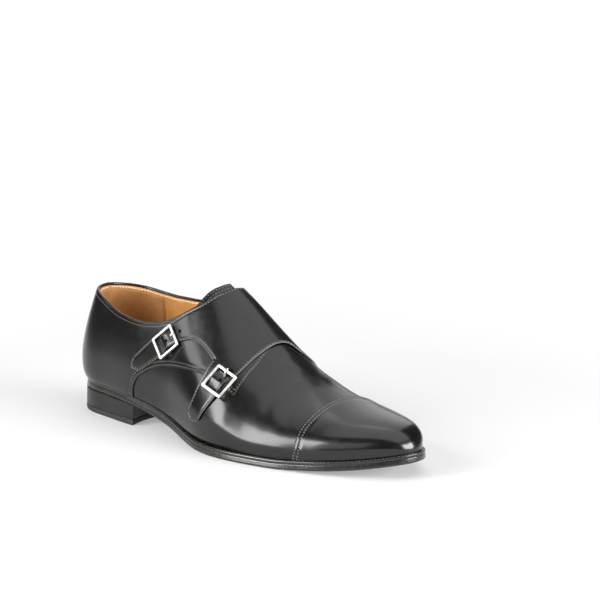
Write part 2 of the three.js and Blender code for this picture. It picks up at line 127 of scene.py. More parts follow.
# heel turn in degrees, x, ridge line, height of the ridge, then for each side: feather half width,
# bulge, height of the widest line and two handles
RIBS = np.array([
    (0, -115, 0.0, 110, 29.6, 4.0, 15, .28, .24, 29.6, 4.0, 15, .28, .24),
    (45, -115, 0.0, 110, 29.8, 3.6, 16, .30, .27, 29.8, 3.6, 16, .30, .27),
    (90, -115, 0.0, 110, 30.2, 3.0, 18, .36, .32, 30.0, 3.0, 18, .36, .32),
    (90, -95, -0.8, 111, 33.4, 2.5, 19, .39, .34, 31.0, 3.0, 20, .38, .34),
    (90, -80, -1.0, 113, 35.4, 2.5, 20, .40, .34, 30.6, 3.0, 22, .40, .36),
    (90, -60, -0.8, 110.5, 35.8, 3.2, 21, .40, .34, 26.5, 5.0, 25, .42, .36),
    (90, -40, -0.4, 107, 37.4, 4.0, 21, .39, .34, 22.5, 7.0, 26, .42, .36),
    (90, -20, 0.4, 99.5, 44.0, 4.3, 20, .36, .34, 21.5, 8.0, 26, .42, .36),
    (90, 0, 1.5, 88.5, 51.2, 4.0, 18, .34, .34, 25.0, 7.5, 24, .42, .36),
    (90, 20, 2.4, 73.0, 54.0, 2.9, 15, .335, .37, 32.0, 5.0, 20, .42, .38),
    (90, 40, 3.0, 57.0, 52.8, 0.8, 8.5, .28, .40, 38.5, 3.0, 17, .42, .42),
    (90, 65, 3.3, 41.3, 47.8, 0.4, 7, .37, .48, 42.5, 2.0, 15, .48, .48),
    (90, 92, 3.6, 30.3, 39.4, 0.4, 6, .48, .55, 41.0, 2.0, 12, .52, .55),
    (90, 120, 2.4, 23.5, 31.2, 0.5, 6, .53, .58, 34.8, 1.5, 11, .55, .58),
    (90, 146, 0.4, 20.0, 27.0, 0.5, 6, .54, .58, 28.5, 1.5, 10, .55, .58)], float)
# x, height of the sole's underside above the floor
GROUND = np.array([(-150, 16.9), (-115, 16.6), (-95, 16.0), (-80, 14.9), (-60, 11.3), (-40, 6.4), (-20, 2.5),
                   (0, 0.5), (15, -.1), (62, -.15), (92, 2.0), (120, 5.6), (150, 11.6)])
# x, how far the sole stands out from the feather line
EDGE = np.array([(-150, 1.0), (-80, 1.0), (-60, 1.2), (-40, 1.6), (-20, 2.4), (0, 3.4), (20, 4.0), (120, 4.0),
                 (150, 3.6)])
# topline: heel turn, x, share of the rib on the outer and on the inner side
TOPLINE = np.array([(0, -115, .568, .568), (45, -115, .557, .547), (90, -115, .508, .510), (90, -105, .479, .497),
                    (90, -90, .451, .480), (90, -75, .445, .476), (90, -60, .474, .502), (90, -50, .512, .540),
                    (90, -40, .574, .598), (90, -30, .662, .674), (90, -22, .754, .761), (90, -16, .852, .856),
                    (90, -13, .930, .930), (90, -12, 1.0, 1.0)])
RIB_U, TOP_U = (HEEL_R * np.radians(rows[:, 0]) + rows[:, 1] - AXIS_X for rows in (RIBS, TOPLINE))


def ground(x):
    """Underside of the outsole above the floor."""
    return np.maximum(0, read(GROUND[:, 0], GROUND[:, 1], x))


def along(x):
    """u of a station x: straight to the cap, then a quarter sine to the toe tip."""
    x = np.asarray(x, float)
    close = np.arcsin(np.clip((x - CAP_X) / (TIP_X - CAP_X), 0, 1)) * 2 / np.pi
    return np.where(x <= CAP_X, FAN + x - AXIS_X, U_CAP + TOE * close)


def rib_table():
    """Columns of the rib table every half millimetre, evened over about 6 mm so that no row shows."""
    s = np.arange(0, RIB_U[-1] + .5, .5)
    raw = np.stack([read(RIB_U, RIBS[:, k], s) for k in range(2, 14)], -1)
    pad = 40
    wide = np.concatenate([2 * raw[:1] - raw[pad:0:-1], raw, 2 * raw[-1:] - raw[-2:-pad - 2:-1]])
    return s, evened(wide, 12, 0)[pad:-pad]


RIB_S, RIB_COLUMNS = rib_table()


def bare_last(u, g):
    """Ribs fan round the heel, stand square along the shoe and close at the toe; each rib is two cubic
    arcs, feather line to widest line and widest line to ridge."""
    u, g = np.broadcast_arrays(u, g)
    side = np.where(g <= 1, -1.0, 1.0)
    v = np.where(g <= 1, g, 2 - g)
    turn = np.clip(u / HEEL_R, 0, np.pi / 2)
    close = np.clip((u - U_CAP) / TOE, 0, 1) * np.pi / 2
    x = np.where(u < FAN, AXIS_X, np.where(u < U_CAP, u - FAN + AXIS_X, CAP_X + (TIP_X - CAP_X) * np.sin(close)))
    s = np.where(u < FAN, u, FAN + x - AXIS_X)
    far = np.clip((x - CAP_X) / (TIP_X - CAP_X), 0, 1)
    wide, high = np.cos(close), np.sqrt(np.clip(1 - far ** 4, 0, 1))
    c = [np.interp(s, RIB_S, RIB_COLUMNS[:, k]) for k in range(12)]
    half, bulge, level, one, two = [np.where(side < 0, c[2 + k], c[7 + k]) for k in range(5)]
    foot = (half - side * c[0]) * wide
    bulge = bulge * wide
    widest = foot + bulge
    top = c[1] * high
    mid = np.minimum(level * high, top * .6)
    a, b = np.clip(v / LOW, 0, 1), np.clip((v - LOW) / (1 - LOW), 0, 1)
    r = np.where(v < LOW, bezier(foot, foot + .75 * bulge, widest, widest, a),
                 bezier(widest, widest, two * widest, 0, b))
    z = np.where(v < LOW, bezier(0, .18 * mid, .5 * mid, mid, a), bezier(mid, mid + one * (top - mid), top, top, b))
    co, sn = np.cos(turn), np.sin(turn)
    return np.stack([x - r * co, c[0] * sn + side * r * sn, ground(x - foot * co) + FEATHER + z], -1)


NU, NG, PAD = 641, 513, 26
DU, DG = U_END / (NU - 1), 2 / (NG - 1)


def padded(grid):
    """The grid carried on past its ends: round the heel and the toe it continues on the other side of the
    shoe, past the feather lines it is turned over."""
    grid = np.concatenate([grid[PAD:0:-1, ::-1], grid, grid[-2:-PAD - 2:-1, ::-1]])
    return np.concatenate([2 * grid[:, :1] - grid[:, PAD:0:-1], grid, 2 * grid[:, -1:] - grid[:, -2:-PAD - 2:-1]], 1)


def facing(grid):
    """Unit normals of a padded grid of points, from its neighbour differences; straight ahead at the toe tip."""
    n = unit(np.cross(np.gradient(grid, axis=0), np.gradient(grid, axis=1)))
    tip = NU - 1 + PAD
    n[tip - 1:tip + 2] = (1, 0, 0)
    return n


# Soft creases and pulls of the leather: x, g, length along, width across, turn in degrees, depth
FOLDS = [
    (34, .86, 13, 2.6, 62, .16), (40, .90, 15, 3.0, 66, -.14), (47, .84, 17, 3.0, 70, .20),
    (54, .80, 16, 3.2, 74, -.15), (61, .84, 18, 3.4, 78, .16), (48, 1.18, 12, 3.0, 108, .16),
    (56, 1.2, 12, 3.2, 102, -.13),
    (-20, .44, 12, 4.5, 20, -.30), (-29, .51, 8, 8, 20, -.8), (-30, .33, 16, 4.5, 15, .22),
    (32, .44, 9, 3.2, 60, .22), (26, .36, 10, 3.5, 48, -.22), (-88, .30, 14, 5, 10, .10)]
FOLD_BOW = .02


def folded(grid):
    """The last with its creases: each is a bell across its own slightly bowed line that fades towards its ends."""
    u = (np.arange(grid.shape[0]) - PAD)[:, None] * DU
    g = (np.arange(grid.shape[1]) - PAD)[None, :] * DG
    drop = np.zeros(grid.shape[:2])
    for x, share, length, width, turn, depth in FOLDS:
        a, b = u - float(along(x)), (g - share) * WIDE_GIRTH
        c, s = np.cos(np.radians(turn)), np.sin(np.radians(turn))
        p = a * c + b * s
        q = -a * s + b * c + FOLD_BOW * p * p
        drop += depth * np.exp(-.5 * (p / length) ** 2 - .5 * (q / width) ** 2)
    return grid - facing(grid) * drop[..., None]


def evened_last():
    """The last on a fine grid, evened both ways so that reflections run on smoothly, then creased."""
    grid = bare_last(np.linspace(0, U_END, NU)[:, None], np.linspace(0, 2, NG)[None, :])
    for width, axis in ((6, 1), (7, 0)):
        grid = evened(padded(grid), width, axis)[PAD:-PAD, PAD:-PAD]
    return folded(padded(grid))


POINTS = evened_last()
WAYS = facing(POINTS)


def look_up(field, uv):
    """Value of a padded grid between its points, cubic in both directions."""
    def spot(value, step, size):
        """Row below a value, and the weights of the four rows round it."""
        a = np.clip(value / step + PAD, 1, size - 3)
        i = np.floor(a).astype(int)
        t = a - i
        return i, (-.5 * t + t * t - .5 * t ** 3, 1 - 2.5 * t * t + 1.5 * t ** 3,
                   .5 * t + 2 * t * t - 1.5 * t ** 3, -.5 * t * t + .5 * t ** 3)
    (i, wa), (j, wb) = spot(uv[..., 0], DU, POINTS.shape[0]), spot(uv[..., 1], DG, POINTS.shape[1])
    return sum((wa[k] * wb[m])[..., None] * field[i - 1 + k, j - 1 + m] for k in range(4) for m in range(4))


def way(uv):
    """Unit normals of the last."""
    return unit(look_up(WAYS, uv))


def skin(uv, h=0.0):
    """Point at height h off the last: the last's point plus h along its normal."""
    return look_up(POINTS, uv) + np.asarray(h, float)[..., None] * way(uv)


def slopes(uv):
    """Change of the last's point for one more u and for one more g, from differences on both sides."""
    return skin(uv + (.5, 0)) - skin(uv - (.5, 0)), (skin(uv + (0, .005)) - skin(uv - (0, .005))) / .01


def moved(uv, push):
    """Surface coordinates after a push of some millimetres in space, solved from the two slopes of the last."""
    along_u, along_g = slopes(uv)
    a, b, c = (along_u * along_u).sum(-1), (along_u * along_g).sum(-1), (along_g * along_g).sum(-1)
    d, e = (along_u * push).sum(-1), (along_g * push).sum(-1)
    det = a * c - b * b + 1e-9
    return uv + np.stack([(c * d - b * e) / det, (a * e - b * d) / det], -1)


def inset(line, distance, hand):
    """Line on the last moved sideways by a distance; hand +1 is to the left seen from outside."""
    sideways = np.cross(way(line), unit(np.gradient(skin(line), axis=0)))
    return moved(line, sideways * (hand * np.broadcast_to(distance, len(line)))[:, None])


def line_of(rows, n=200, straight=False):
    """Smooth line on the last through rows of (x, g), n points evenly along it."""
    rows = np.array(rows, float)
    uv = np.stack([along(rows[:, 0]), rows[:, 1]], -1)
    s = run(uv * (1, GIRTH))
    t = np.linspace(0, s[-1], n)
    return pick(t, s, uv) if straight else np.stack([read(s, uv[:, k], t) for k in (0, 1)], -1)


def patch(lower, upper, left, right, s, t):
    """Surface coordinates between four lines, two given at the shares s and two at the shares t: lower to
    upper over t, plus left to right over s, less the blend of the four corners."""
    s, t = s[:, None, None], t[None, :, None]
    corners = (1 - s) * ((1 - t) * lower[0] + t * upper[0]) + s * ((1 - t) * lower[-1] + t * upper[-1])
    return (1 - t) * lower[:, None] + t * upper[:, None] + (1 - s) * left[None] + s * right[None] - corners


FINE = np.array([0, .12, .28, .48, .75, 1.05, 1.4, 1.8, 2.3, 2.9, 3.6, 4.4])
SHORT = FINE[:9]


def spaced(length, n, first=True, last=True):
    """Shares from 0 to 1 over a length: n even ones, and fine ones at the edges so that a rounded edge and a
    stitch groove hold."""
    fine, none = FINE / length, np.zeros(0)
    even = np.linspace(fine[-1] if first else 0, 1 - fine[-1] if last else 1, n)
    return np.unique(np.concatenate([fine if first else none, even, 1 - fine if last else none]).round(6))


def gap(uv, lines):
    """Distance in space from places on the last to the nearest stretch of some lines on it."""
    points, lines = skin(uv).reshape(-1, 3), [skin(m) for m in lines]
    a, b = np.concatenate([m[:-1] for m in lines]), np.concatenate([m[1:] for m in lines])
    d = b - a
    square = (d * d).sum(1) + 1e-12
    out = np.empty(len(points))
    for i in range(0, len(points), 1500):
        p = points[i:i + 1500, None]
        t = np.clip(((p - a) * d).sum(-1) / square, 0, 1)
        out[i:i + 1500] = np.sqrt(((a + t[..., None] * d - p) ** 2).sum(-1).min(1))
    return out.reshape(uv.shape[:-1])


# ---------------------------------------------------------------- meshes
MATERIALS = {}


def merged(keys, faces):
    """Rows of keys that coincide once rounded become one: the rows kept, and the faces renumbered."""
    _, first, back = np.unique(np.round(keys).astype(np.int64), axis=0, return_index=True, return_inverse=True)
    return first, back.reshape(-1)[faces]


def weld(points, faces):
    """Points that coincide become one, and faces that lose a side become triangles or go."""
    first, faces = merged(points * 2e3, faces)
    same = faces == np.roll(faces, -1, 1)
    count = same.sum(1)
    quads = faces[count == 0]
    quads = quads[(quads[:, 0] != quads[:, 2]) & (quads[:, 1] != quads[:, 3])]
    columns = (same[count == 1].argmax(1)[:, None] + np.array([1, 2, 3])) % 4
    return points[first], quads, np.take_along_axis(faces[count == 1], columns, 1)


def volume(points, quads, tris):
    """Six times the volume inside the faces: the sum of the triple products of their triangles."""
    f = np.concatenate([quads[:, [0, 1, 2]], quads[:, [0, 2, 3]], tris])
    a, b, c = points[f[:, 0]], points[f[:, 1]], points[f[:, 2]]
    return (a * np.cross(b, c)).sum()


def piece(name, points, faces, finish, slot, stands_for=()):
    """Mesh object from millimetre points and four-sided faces, welded, facing outwards, riding on the shoe."""
    points, quads, tris = weld(points - CENTRE, faces)
    if volume(points, quads, tris) < 0:
        quads, tris = quads[:, ::-1], tris[:, ::-1]
    mesh = bpy.data.meshes.new(name)
    mesh.vertices.add(len(points))
    mesh.vertices.foreach_set("co", (points * .001).astype(np.float32).ravel())
    corners = np.concatenate([quads.ravel(), tris.ravel()])
    mesh.loops.add(len(corners))
    mesh.loops.foreach_set("vertex_index", corners.astype(np.int32))
    mesh.polygons.add(len(quads) + len(tris))
    starts = np.concatenate([np.arange(len(quads)) * 4, len(quads) * 4 + np.arange(len(tris)) * 3])
    mesh.polygons.foreach_set("loop_start", starts.astype(np.int32))
    mesh.polygons.foreach_set("use_smooth", np.ones(len(starts), bool))
    mesh.update(calc_edges=True)
    mesh.validate()
    mesh.materials.append(MATERIALS[finish])
    obj = bpy.data.objects.new(name, mesh)
    bpy.context.scene.collection.objects.link(obj)
    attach(obj, "root")
    if stands_for:
        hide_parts(*stands_for)


def lattice(rows, columns, closed=False):
    """Four-sided faces of a grid of rows by columns, whose last column may meet its first."""
    i = np.arange(rows - 1)[:, None] * columns
    j = np.arange(columns if closed else columns - 1)[None, :]
    k = (j + 1) % columns
    return np.stack([i + j, i + k, i + columns + k, i + columns + j], -1).reshape(-1, 4)


def nets(grids, closed=False):
    """Several grids as one list of points and faces."""
    starts = np.cumsum([0] + [m.shape[0] * m.shape[1] for m in grids])
    faces = [lattice(*m.shape[:2], closed) + start for m, start in zip(grids, starts)]
    return np.concatenate([m.reshape(-1, m.shape[-1]) for m in grids]), np.concatenate(faces)


def joined(grids, scale=(2e3, 1e5)):
    """Several grids of values as one net; rows whose first values coincide become one."""
    values, faces = nets(grids)
    first, faces = merged(values[:, :len(scale)] * np.array(scale), faces)
    return values[first], faces


def free_edges(faces, count):
    """Edges used by one face only, each in its face's direction."""
    a, b = faces.ravel(), np.roll(faces, -1, 1).ravel()
    a, b = a[a != b], b[a != b]
    lone = ~np.isin(a * count + b, b * count + a)
    return a[lone], b[lone]


def leather(name, faces, outer, inner, finish, slot, stands_for=()):
    """Closed sheet from the points of its two faces: the same net on both, joined by a rim at the free edges."""
    outer, inner = outer.reshape(-1, 3), inner.reshape(-1, 3)
    n = len(outer)
    a, b = free_edges(faces, n)
    border = np.stack([b, a, a + n, b + n], -1)
    piece(name, np.concatenate([outer, inner]), np.concatenate([faces, faces[:, ::-1] + n, border]), finish, slot,
          stands_for)


def rolled(distance, thick, radius=.55):
    """Drop of the outer face near an edge: a quarter circle of some radius, 0 further in."""
    t = np.clip(1 - distance / radius, 0, 1)
    return thick * .62 * (1 - np.sqrt(1 - t * t * .999))


def grooves(distance, rows, depth=.2, width=.46):
    """Dent under each stitch row, a bell across the row."""
    return sum(depth * np.exp(-.5 * ((distance - r) / width) ** 2) for r in rows)


# ---------------------------------------------------------------- stitches
def stitch_shape():
    """One stitch: a half sunk capsule, six rings of six points round its length."""
    a, b = np.linspace(0, np.pi, 6)[:, None], ring(6)[None, :]
    length = np.sign(np.cos(a)) * np.abs(np.cos(a)) ** .7 * np.ones_like(b)
    return np.stack([length, np.sin(a) ** .6 * np.cos(b), np.sin(a) ** .6 * np.sin(b)], -1)


STITCH = stitch_shape()


def stitches(name, rows, finish, slot, pitch=2.3, length=1.15, wide=.42, high=.36):
    """Stitches laid end to end on rows of (points, surface coordinates or None): each row is measured and cut
    into equal steps. A stitch lies along its step and its width square to it; on the last it lies flat on the
    surface, elsewhere its width is level."""
    grids = []
    for points, uv in rows:
        s = run(points)
        n = max(1, int(s[-1] / pitch))
        middle = (np.arange(n) + .5) * s[-1] / n
        t = pick(middle + .4, s, points) - pick(middle - .4, s, points)
        up = np.array([[0, 0, 1.0]])
        if uv is not None:
            up = way(pick(middle, s, uv))
            t = t - (t * up).sum(-1, keepdims=True) * up
        t = unit(t)
        b = unit(np.cross(up, t))
        ways = np.stack([t, b, np.cross(t, b)], 1)
        grids.append(pick(middle, s, points)[:, None, None] + (STITCH * (length / 2, wide, high)) @ ways[:, None])
    grids = np.concatenate(grids)
    faces = lattice(6, 6, closed=True) + (36 * np.arange(len(grids)))[:, None, None]
    piece(name, grids.reshape(-1, 3), faces.reshape(-1, 4), finish, slot)


def seam_stitches(name, rows, height, finish, slot, **size):
    """Stitches on rows of surface coordinates at a height off the last, a number or a function of the row."""
    level = [height(row) if callable(height) else height for row in rows]
    stitches(name, [(skin(row, h), row) for row, h in zip(rows, level)], finish, slot, **size)


def kept(row, borders, distance):
    """Parts of a row that keep their distance from all borders, so that rows stop short at corners."""
    good = gap(row, borders) > distance * .93
    cuts = np.flatnonzero(np.diff(good.astype(int))) + 1
    return [part for part, ok in zip(np.split(row, cuts), np.split(good, cuts)) if ok[0] and len(part) > 3]


# ---------------------------------------------------------------- materials
def node(tree, kind, group=None, **settings):
    """Shader node, with sockets (underscores stand for spaces) and settings by name."""
    n = tree.nodes.new(kind)
    if group:
        n.node_tree = group
    for key, value in settings.items():
        socket = n.inputs.get(key.replace("_", " "))
        if socket is None:
            setattr(n, key, value)
        else:
            socket.default_value = value
    return n


def new_group(name, inputs, outputs):
    """Shader node group with named inputs (name, kind, default) and outputs (name, kind)."""
    group = bpy.data.node_groups.new(name, "ShaderNodeTree")
    for label, kind, value in inputs:
        socket = group.interface.new_socket(name=label, in_out="INPUT", socket_type="NodeSocket" + kind)
        if value is not None:
            socket.default_value = value
    for label, kind in outputs:
        group.interface.new_socket(name=label, in_out="OUTPUT", socket_type="NodeSocket" + kind)
    return group, group.nodes.new("NodeGroupInput").outputs, group.nodes.new("NodeGroupOutput").inputs


def grain_group():
    """Leather grain: fine pores, a soft wander of the surface, and both together as one height."""
    g, given, result = new_group(
        "leather_grain",
        [("Place", "Vector", None), ("Pore scale", "Float", 900.0), ("Pore share", "Float", .5),
         ("Wander scale", "Float", 130.0)],
        [("Height", "Float"), ("Cloud", "Float")])
    pore = node(g, "ShaderNodeTexVoronoi", feature="SMOOTH_F1")
    pore.inputs["Smoothness"].default_value = .6
    fine = node(g, "ShaderNodeTexNoise", Detail=4.0, Roughness=.6)
    wander = node(g, "ShaderNodeTexNoise", Detail=3.0, Roughness=.55)
    half = node(g, "ShaderNodeMath", operation="MULTIPLY")
    mixed = node(g, "ShaderNodeMix", data_type="FLOAT")
    total = node(g, "ShaderNodeMath", operation="MULTIPLY_ADD")
    half.inputs[1].default_value, total.inputs[1].default_value = .45, .8
    link = g.links.new
    for texture in (pore, fine, wander):
        link(given["Place"], texture.inputs["Vector"])
    link(given["Pore scale"], pore.inputs["Scale"])
    link(given["Pore scale"], half.inputs[0])
    link(half.outputs[0], fine.inputs["Scale"])
    link(given["Wander scale"], wander.inputs["Scale"])
    link(given["Pore share"], mixed.inputs[0])
    link(fine.outputs["Fac"], mixed.inputs[2])
    link(pore.outputs["Distance"], mixed.inputs[3])
    link(wander.outputs["Fac"], total.inputs[0])
    link(mixed.outputs[0], total.inputs[2])
    link(total.outputs[0], result["Height"])
    link(wander.outputs["Fac"], result["Cloud"])
    return g


def blend_group():
    """Two colours and two amounts mixed by a value that is stretched between a low and a high mark."""
    g, given, result = new_group(
        "tone_blend",
        [("Value", "Float", .5), ("From", "Float", .35), ("To", "Float", .65), ("First", "Color", (0, 0, 0, 1)),
         ("Second", "Color", (1, 1, 1, 1)), ("Low", "Float", .3), ("High", "Float", .4)],
        [("Color", "Color"), ("Amount", "Float")])
    stretch, level = node(g, "ShaderNodeMapRange"), node(g, "ShaderNodeMapRange")
    mix = node(g, "ShaderNodeMix", data_type="RGBA")
    link = g.links.new
    link(given["Value"], stretch.inputs["Value"])
    link(given["From"], stretch.inputs["From Min"])
    link(given["To"], stretch.inputs["From Max"])
    link(stretch.outputs[0], mix.inputs[0])
    link(given["First"], mix.inputs[6])
    link(given["Second"], mix.inputs[7])
    link(mix.outputs[2], result["Color"])
    link(stretch.outputs[0], level.inputs["Value"])
    link(given["Low"], level.inputs["To Min"])
    link(given["High"], level.inputs["To Max"])
    link(level.outputs[0], result["Amount"])
    return g


GRAIN, BLEND = grain_group(), blend_group()


def finish_of(name, first, second, rough, bump, pores, share=.5, wander=130.0, stretch=(1, 1, 1), **sockets):
    """A finish: grain gives the height of a bump, its cloud blends two tones and two roughnesses."""
    m = bpy.data.materials.new(name)
    m.use_nodes = True
    t = m.node_tree
    shader = t.nodes["Principled BSDF"]
    for key, value in sockets.items():
        shader.inputs[key.replace("_", " ")].default_value = value
    place = node(t, "ShaderNodeTexCoord")
    mapping = node(t, "ShaderNodeMapping", Scale=stretch)
    grain = node(t, "ShaderNodeGroup", GRAIN, Pore_scale=pores, Pore_share=share, Wander_scale=wander)
    tone = node(t, "ShaderNodeGroup", BLEND, First=(*first, 1), Second=(*second, 1), Low=rough[0], High=rough[1])
    dent = node(t, "ShaderNodeBump", Strength=bump[0], Distance=bump[1])
    link = t.links.new
    link(place.outputs["Object"], mapping.inputs["Vector"])
    link(mapping.outputs[0], grain.inputs["Place"])
    link(grain.outputs["Height"], dent.inputs["Height"])
    link(grain.outputs["Cloud"], tone.inputs["Value"])
    link(tone.outputs["Color"], shader.inputs["Base Color"])
    link(tone.outputs["Amount"], shader.inputs["Roughness"])
    link(dent.outputs[0], shader.inputs["Normal"])
    MATERIALS[name] = m


finish_of("black_calf", (.0048, .0045, .0043), (.0062, .0058, .0055), (.225, .265), (.30, .00011), 1500, share=.35,
          wander=210, Coat_Weight=.2, Coat_Roughness=.12, Specular_IOR_Level=.42)
finish_of("polished_cap", (.0042, .0039, .0037), (.0062, .0057, .0054), (.21, .26), (.25, .0001), 1500, share=.3,
          wander=170, Coat_Weight=.25, Coat_Roughness=.10, Specular_IOR_Level=.45)
# Raw edge dyed black, given a grey tone here: a painted highlight, so the rounded edges read as light lines.
finish_of("black_edge", (.06, .058, .055), (.10, .096, .09), (.26, .36), (.3, .0001), 2600, wander=400,
          Coat_Weight=.3, Coat_Roughness=.12)
# Black thread with a grey tone: painted sheen, so the stitches read as light dashes on the black leather.
finish_of("black_thread_painted_sheen", (.085, .082, .077), (.145, .14, .132), (.45, .6), (.3, .00006), 5000, wander=900)
finish_of("tan_thread", (.80, .70, .54), (.92, .84, .70), (.5, .65), (.3, .00006), 5000, wander=900)
finish_of("tan_lining", (.49, .225, .060), (.60, .295, .092), (.52, .66), (.35, .00016), 1300, wander=60)
finish_of("suede_lining", (.33, .15, .040), (.45, .215, .066), (.8, .92), (.5, .0003), 2200, wander=75,
          Sheen_Weight=.3, Sheen_Roughness=.4)
finish_of("tan_sock", (.50, .235, .07), (.62, .32, .11), (.5, .65), (.35, .00016), 1200, wander=45)
finish_of("sole_edge", (.0075, .0068, .006), (.015, .0132, .0115), (.22, .30), (.25, .00008), 2600, share=.2,
          wander=420, stretch=(1, 1, .3), Coat_Weight=.35, Coat_Roughness=.12)
finish_of("heel_leather", (.0075, .0068, .0062), (.0135, .012, .0108), (.30, .42), (.45, .00012), 2400, share=.2,
          wander=260, stretch=(.35, .35, 2.2), Specular_IOR_Level=.36, Coat_Weight=.08, Coat_Roughness=.2)
finish_of("heel_rubber", (.010, .010, .010), (.018, .018, .018), (.5, .65), (.5, .00015), 2600, wander=400)
# Hole: a near black, hardly reflecting disc, painted shade for the depth of a punched hole.
finish_of("hole_dark", (.001, .001, .001), (.002, .002, .002), (.6, .8), (.3, .0001), 2500, wander=900,
          Specular_IOR_Level=.06)
finish_of("silver", (.78, .77, .75), (.90, .89, .87), (.31, .38), (.12, .00003), 3000, wander=350, Metallic=1.0)

# ---------------------------------------------------------------- shell and cap
QUARTER, CAP_RISE = 1.0, 1.0      # outer faces of quarter and cap off the last
THROAT = -12                      # x where both toplines meet
COLLAR_ROW = (1.9,)               # stitch row under the collar


def sided(u, v, side):
    """Surface coordinates from u and a share v of the outer (side -1) or the inner (side +1) rib."""
    u, v = np.broadcast_arrays(u, v)
    return np.stack([u, v if side < 0 else 2 - v], -1)


def top_share(side, u):
    """Share of the rib that the topline is at; the whole rib in front of the throat."""
    return np.where(u >= along(THROAT), 1.0, np.minimum(1, read(TOP_U, TOPLINE[:, 2 if side < 0 else 3], u)))


def toe_rows(n):
    """Rows over the toe, closer together towards the tip as a quarter sine."""
    return U_CAP + (U_END - U_CAP) * np.sin(np.linspace(0, np.pi / 2, n))


def shell_net(n_heel, n_mid, n_toe, n_rib, low):
    """Net of both sides from the feather line to `low` millimetres under the topline, closed over the ridge in
    front of the throat."""
    throat = along(np.array([-30, -26, -22, -19, -16.5, -14.5, -13.2, -12.4, THROAT]))
    u = np.unique(np.concatenate([np.linspace(0, throat[0], n_heel), throat, np.linspace(throat[-1], U_CAP, n_mid),
                                  toe_rows(n_toe)]).round(5))
    under = smooth((throat[-1] - u) / 6) * low / GIRTH
    ribs = np.linspace(0, 1, n_rib)
    outer, inner = (sided(u[:, None], ribs * (top_share(side, u) - under)[:, None], side) for side in (-1, 1))
    return joined([outer, inner[:, ::-1]])


def topline_lines(low):
    """Topline of both sides as lines on the last, some millimetres under the edge."""
    u = np.concatenate([np.linspace(0, along(-30), 160), np.linspace(along(-29.9), along(THROAT), 80)])
    return [inset(sided(u, top_share(side, u), side), low, side) for side in (-1, 1)]


def build_shell():
    """Leather shell of the whole upper, and the lining inside it with a rounded top edge."""
    uv, faces = shell_net(100, 100, 42, 66, 2.2)
    leather("upper_shell", faces, skin(uv), skin(uv, -1.2), "black_calf", "upper", ("upper",))
    uv, faces = shell_net(90, 50, 26, 50, .7)
    d = np.where(uv[:, 0] > along(-11), 9, gap(uv, topline_lines(.7)))
    leather("lining", faces, skin(uv, -1.3), skin(uv, -2.25 + rolled(d, .9, .5)), "tan_lining", "insole")


CAP_SEAM = np.array([(77.2, 0), (77.4, .084), (78.4, .227), (78.3, .445), (79.3, .682), (80.4, .856), (80.8, 1.0),
                     (81.0, 1.154), (81.6, 1.244), (82.6, 1.5), (83.4, 1.8), (83.6, 2.0)])
CAP_ROWS = (1.3, 4.0)


def build_cap():
    """Toe cap: from its straight seam over the vamp to the toe tip. Returns its stitch rows."""
    g = np.linspace(0, 2, 220)
    seam = np.stack([read(CAP_SEAM[:, 1], along(CAP_SEAM[:, 0]), g), g], -1)
    s = np.concatenate([FINE / 110, np.linspace(0, 1, 60)[3:]]).round(6)[:, None, None]
    tip = np.stack([np.full_like(g, U_END), g], -1)
    uv, faces = joined([seam * (1 - s) + tip * s])
    d = gap(uv, [seam])
    h = CAP_RISE - rolled(d, 1.0, .6) - grooves(d, CAP_ROWS)
    leather("toe_cap", faces, skin(uv, h), skin(uv, .02), "polished_cap", "upper")
    return [inset(seam[3:-3], a, -1) for a in CAP_ROWS]


# ---------------------------------------------------------------- outer quarter
def wrap_rows(edge, outer, inner, amount, hand, radius=1.2, thick=.85):
    """Rows of (u, g, h) that carry a sheet's outer and inner face over the topline: both turn half round a rod
    that runs inside the edge."""
    out = []
    for height, r in ((outer, radius * amount), (inner, np.maximum(radius - thick, 0) * amount)):
        rows = [(inset(edge, r * np.sin(a), hand), height - r * (1 - np.cos(a))) for a in np.linspace(0, np.pi, 8)[1:]]
        out.append([np.concatenate([line, h[:, None]], -1)[:, None] for line, h in rows])
    return out


def with_rows(grid, heights, rows=()):
    """Grid of (u, g) and its heights as one grid of (u, g, h), with more rows at its end."""
    heights = np.broadcast_to(heights, grid.shape[:2])
    return np.concatenate([np.concatenate([grid, heights[..., None]], -1), *rows], 1)


SEAM_OUT = [(-76.2, 0), (-75.1, .094), (-71.3, .177), (-63.6, .231), (-53.3, .284), (-36.5, .348), (-17.8, .411),
            (.2, .462), (14, .480), (26.2, .485)]
FRONT_OUT = [(26.2, .485), (27.4, .602), (28.6, .729), (27.5, .90)]
HIDDEN_TOP = [(-16.5, .835), (-10, .90), (5, .92), (27.5, .90)]
QUARTER_ROWS = (1.2, 3.5)
LINING_GAP = .02                  # inner face of the quarters off the last


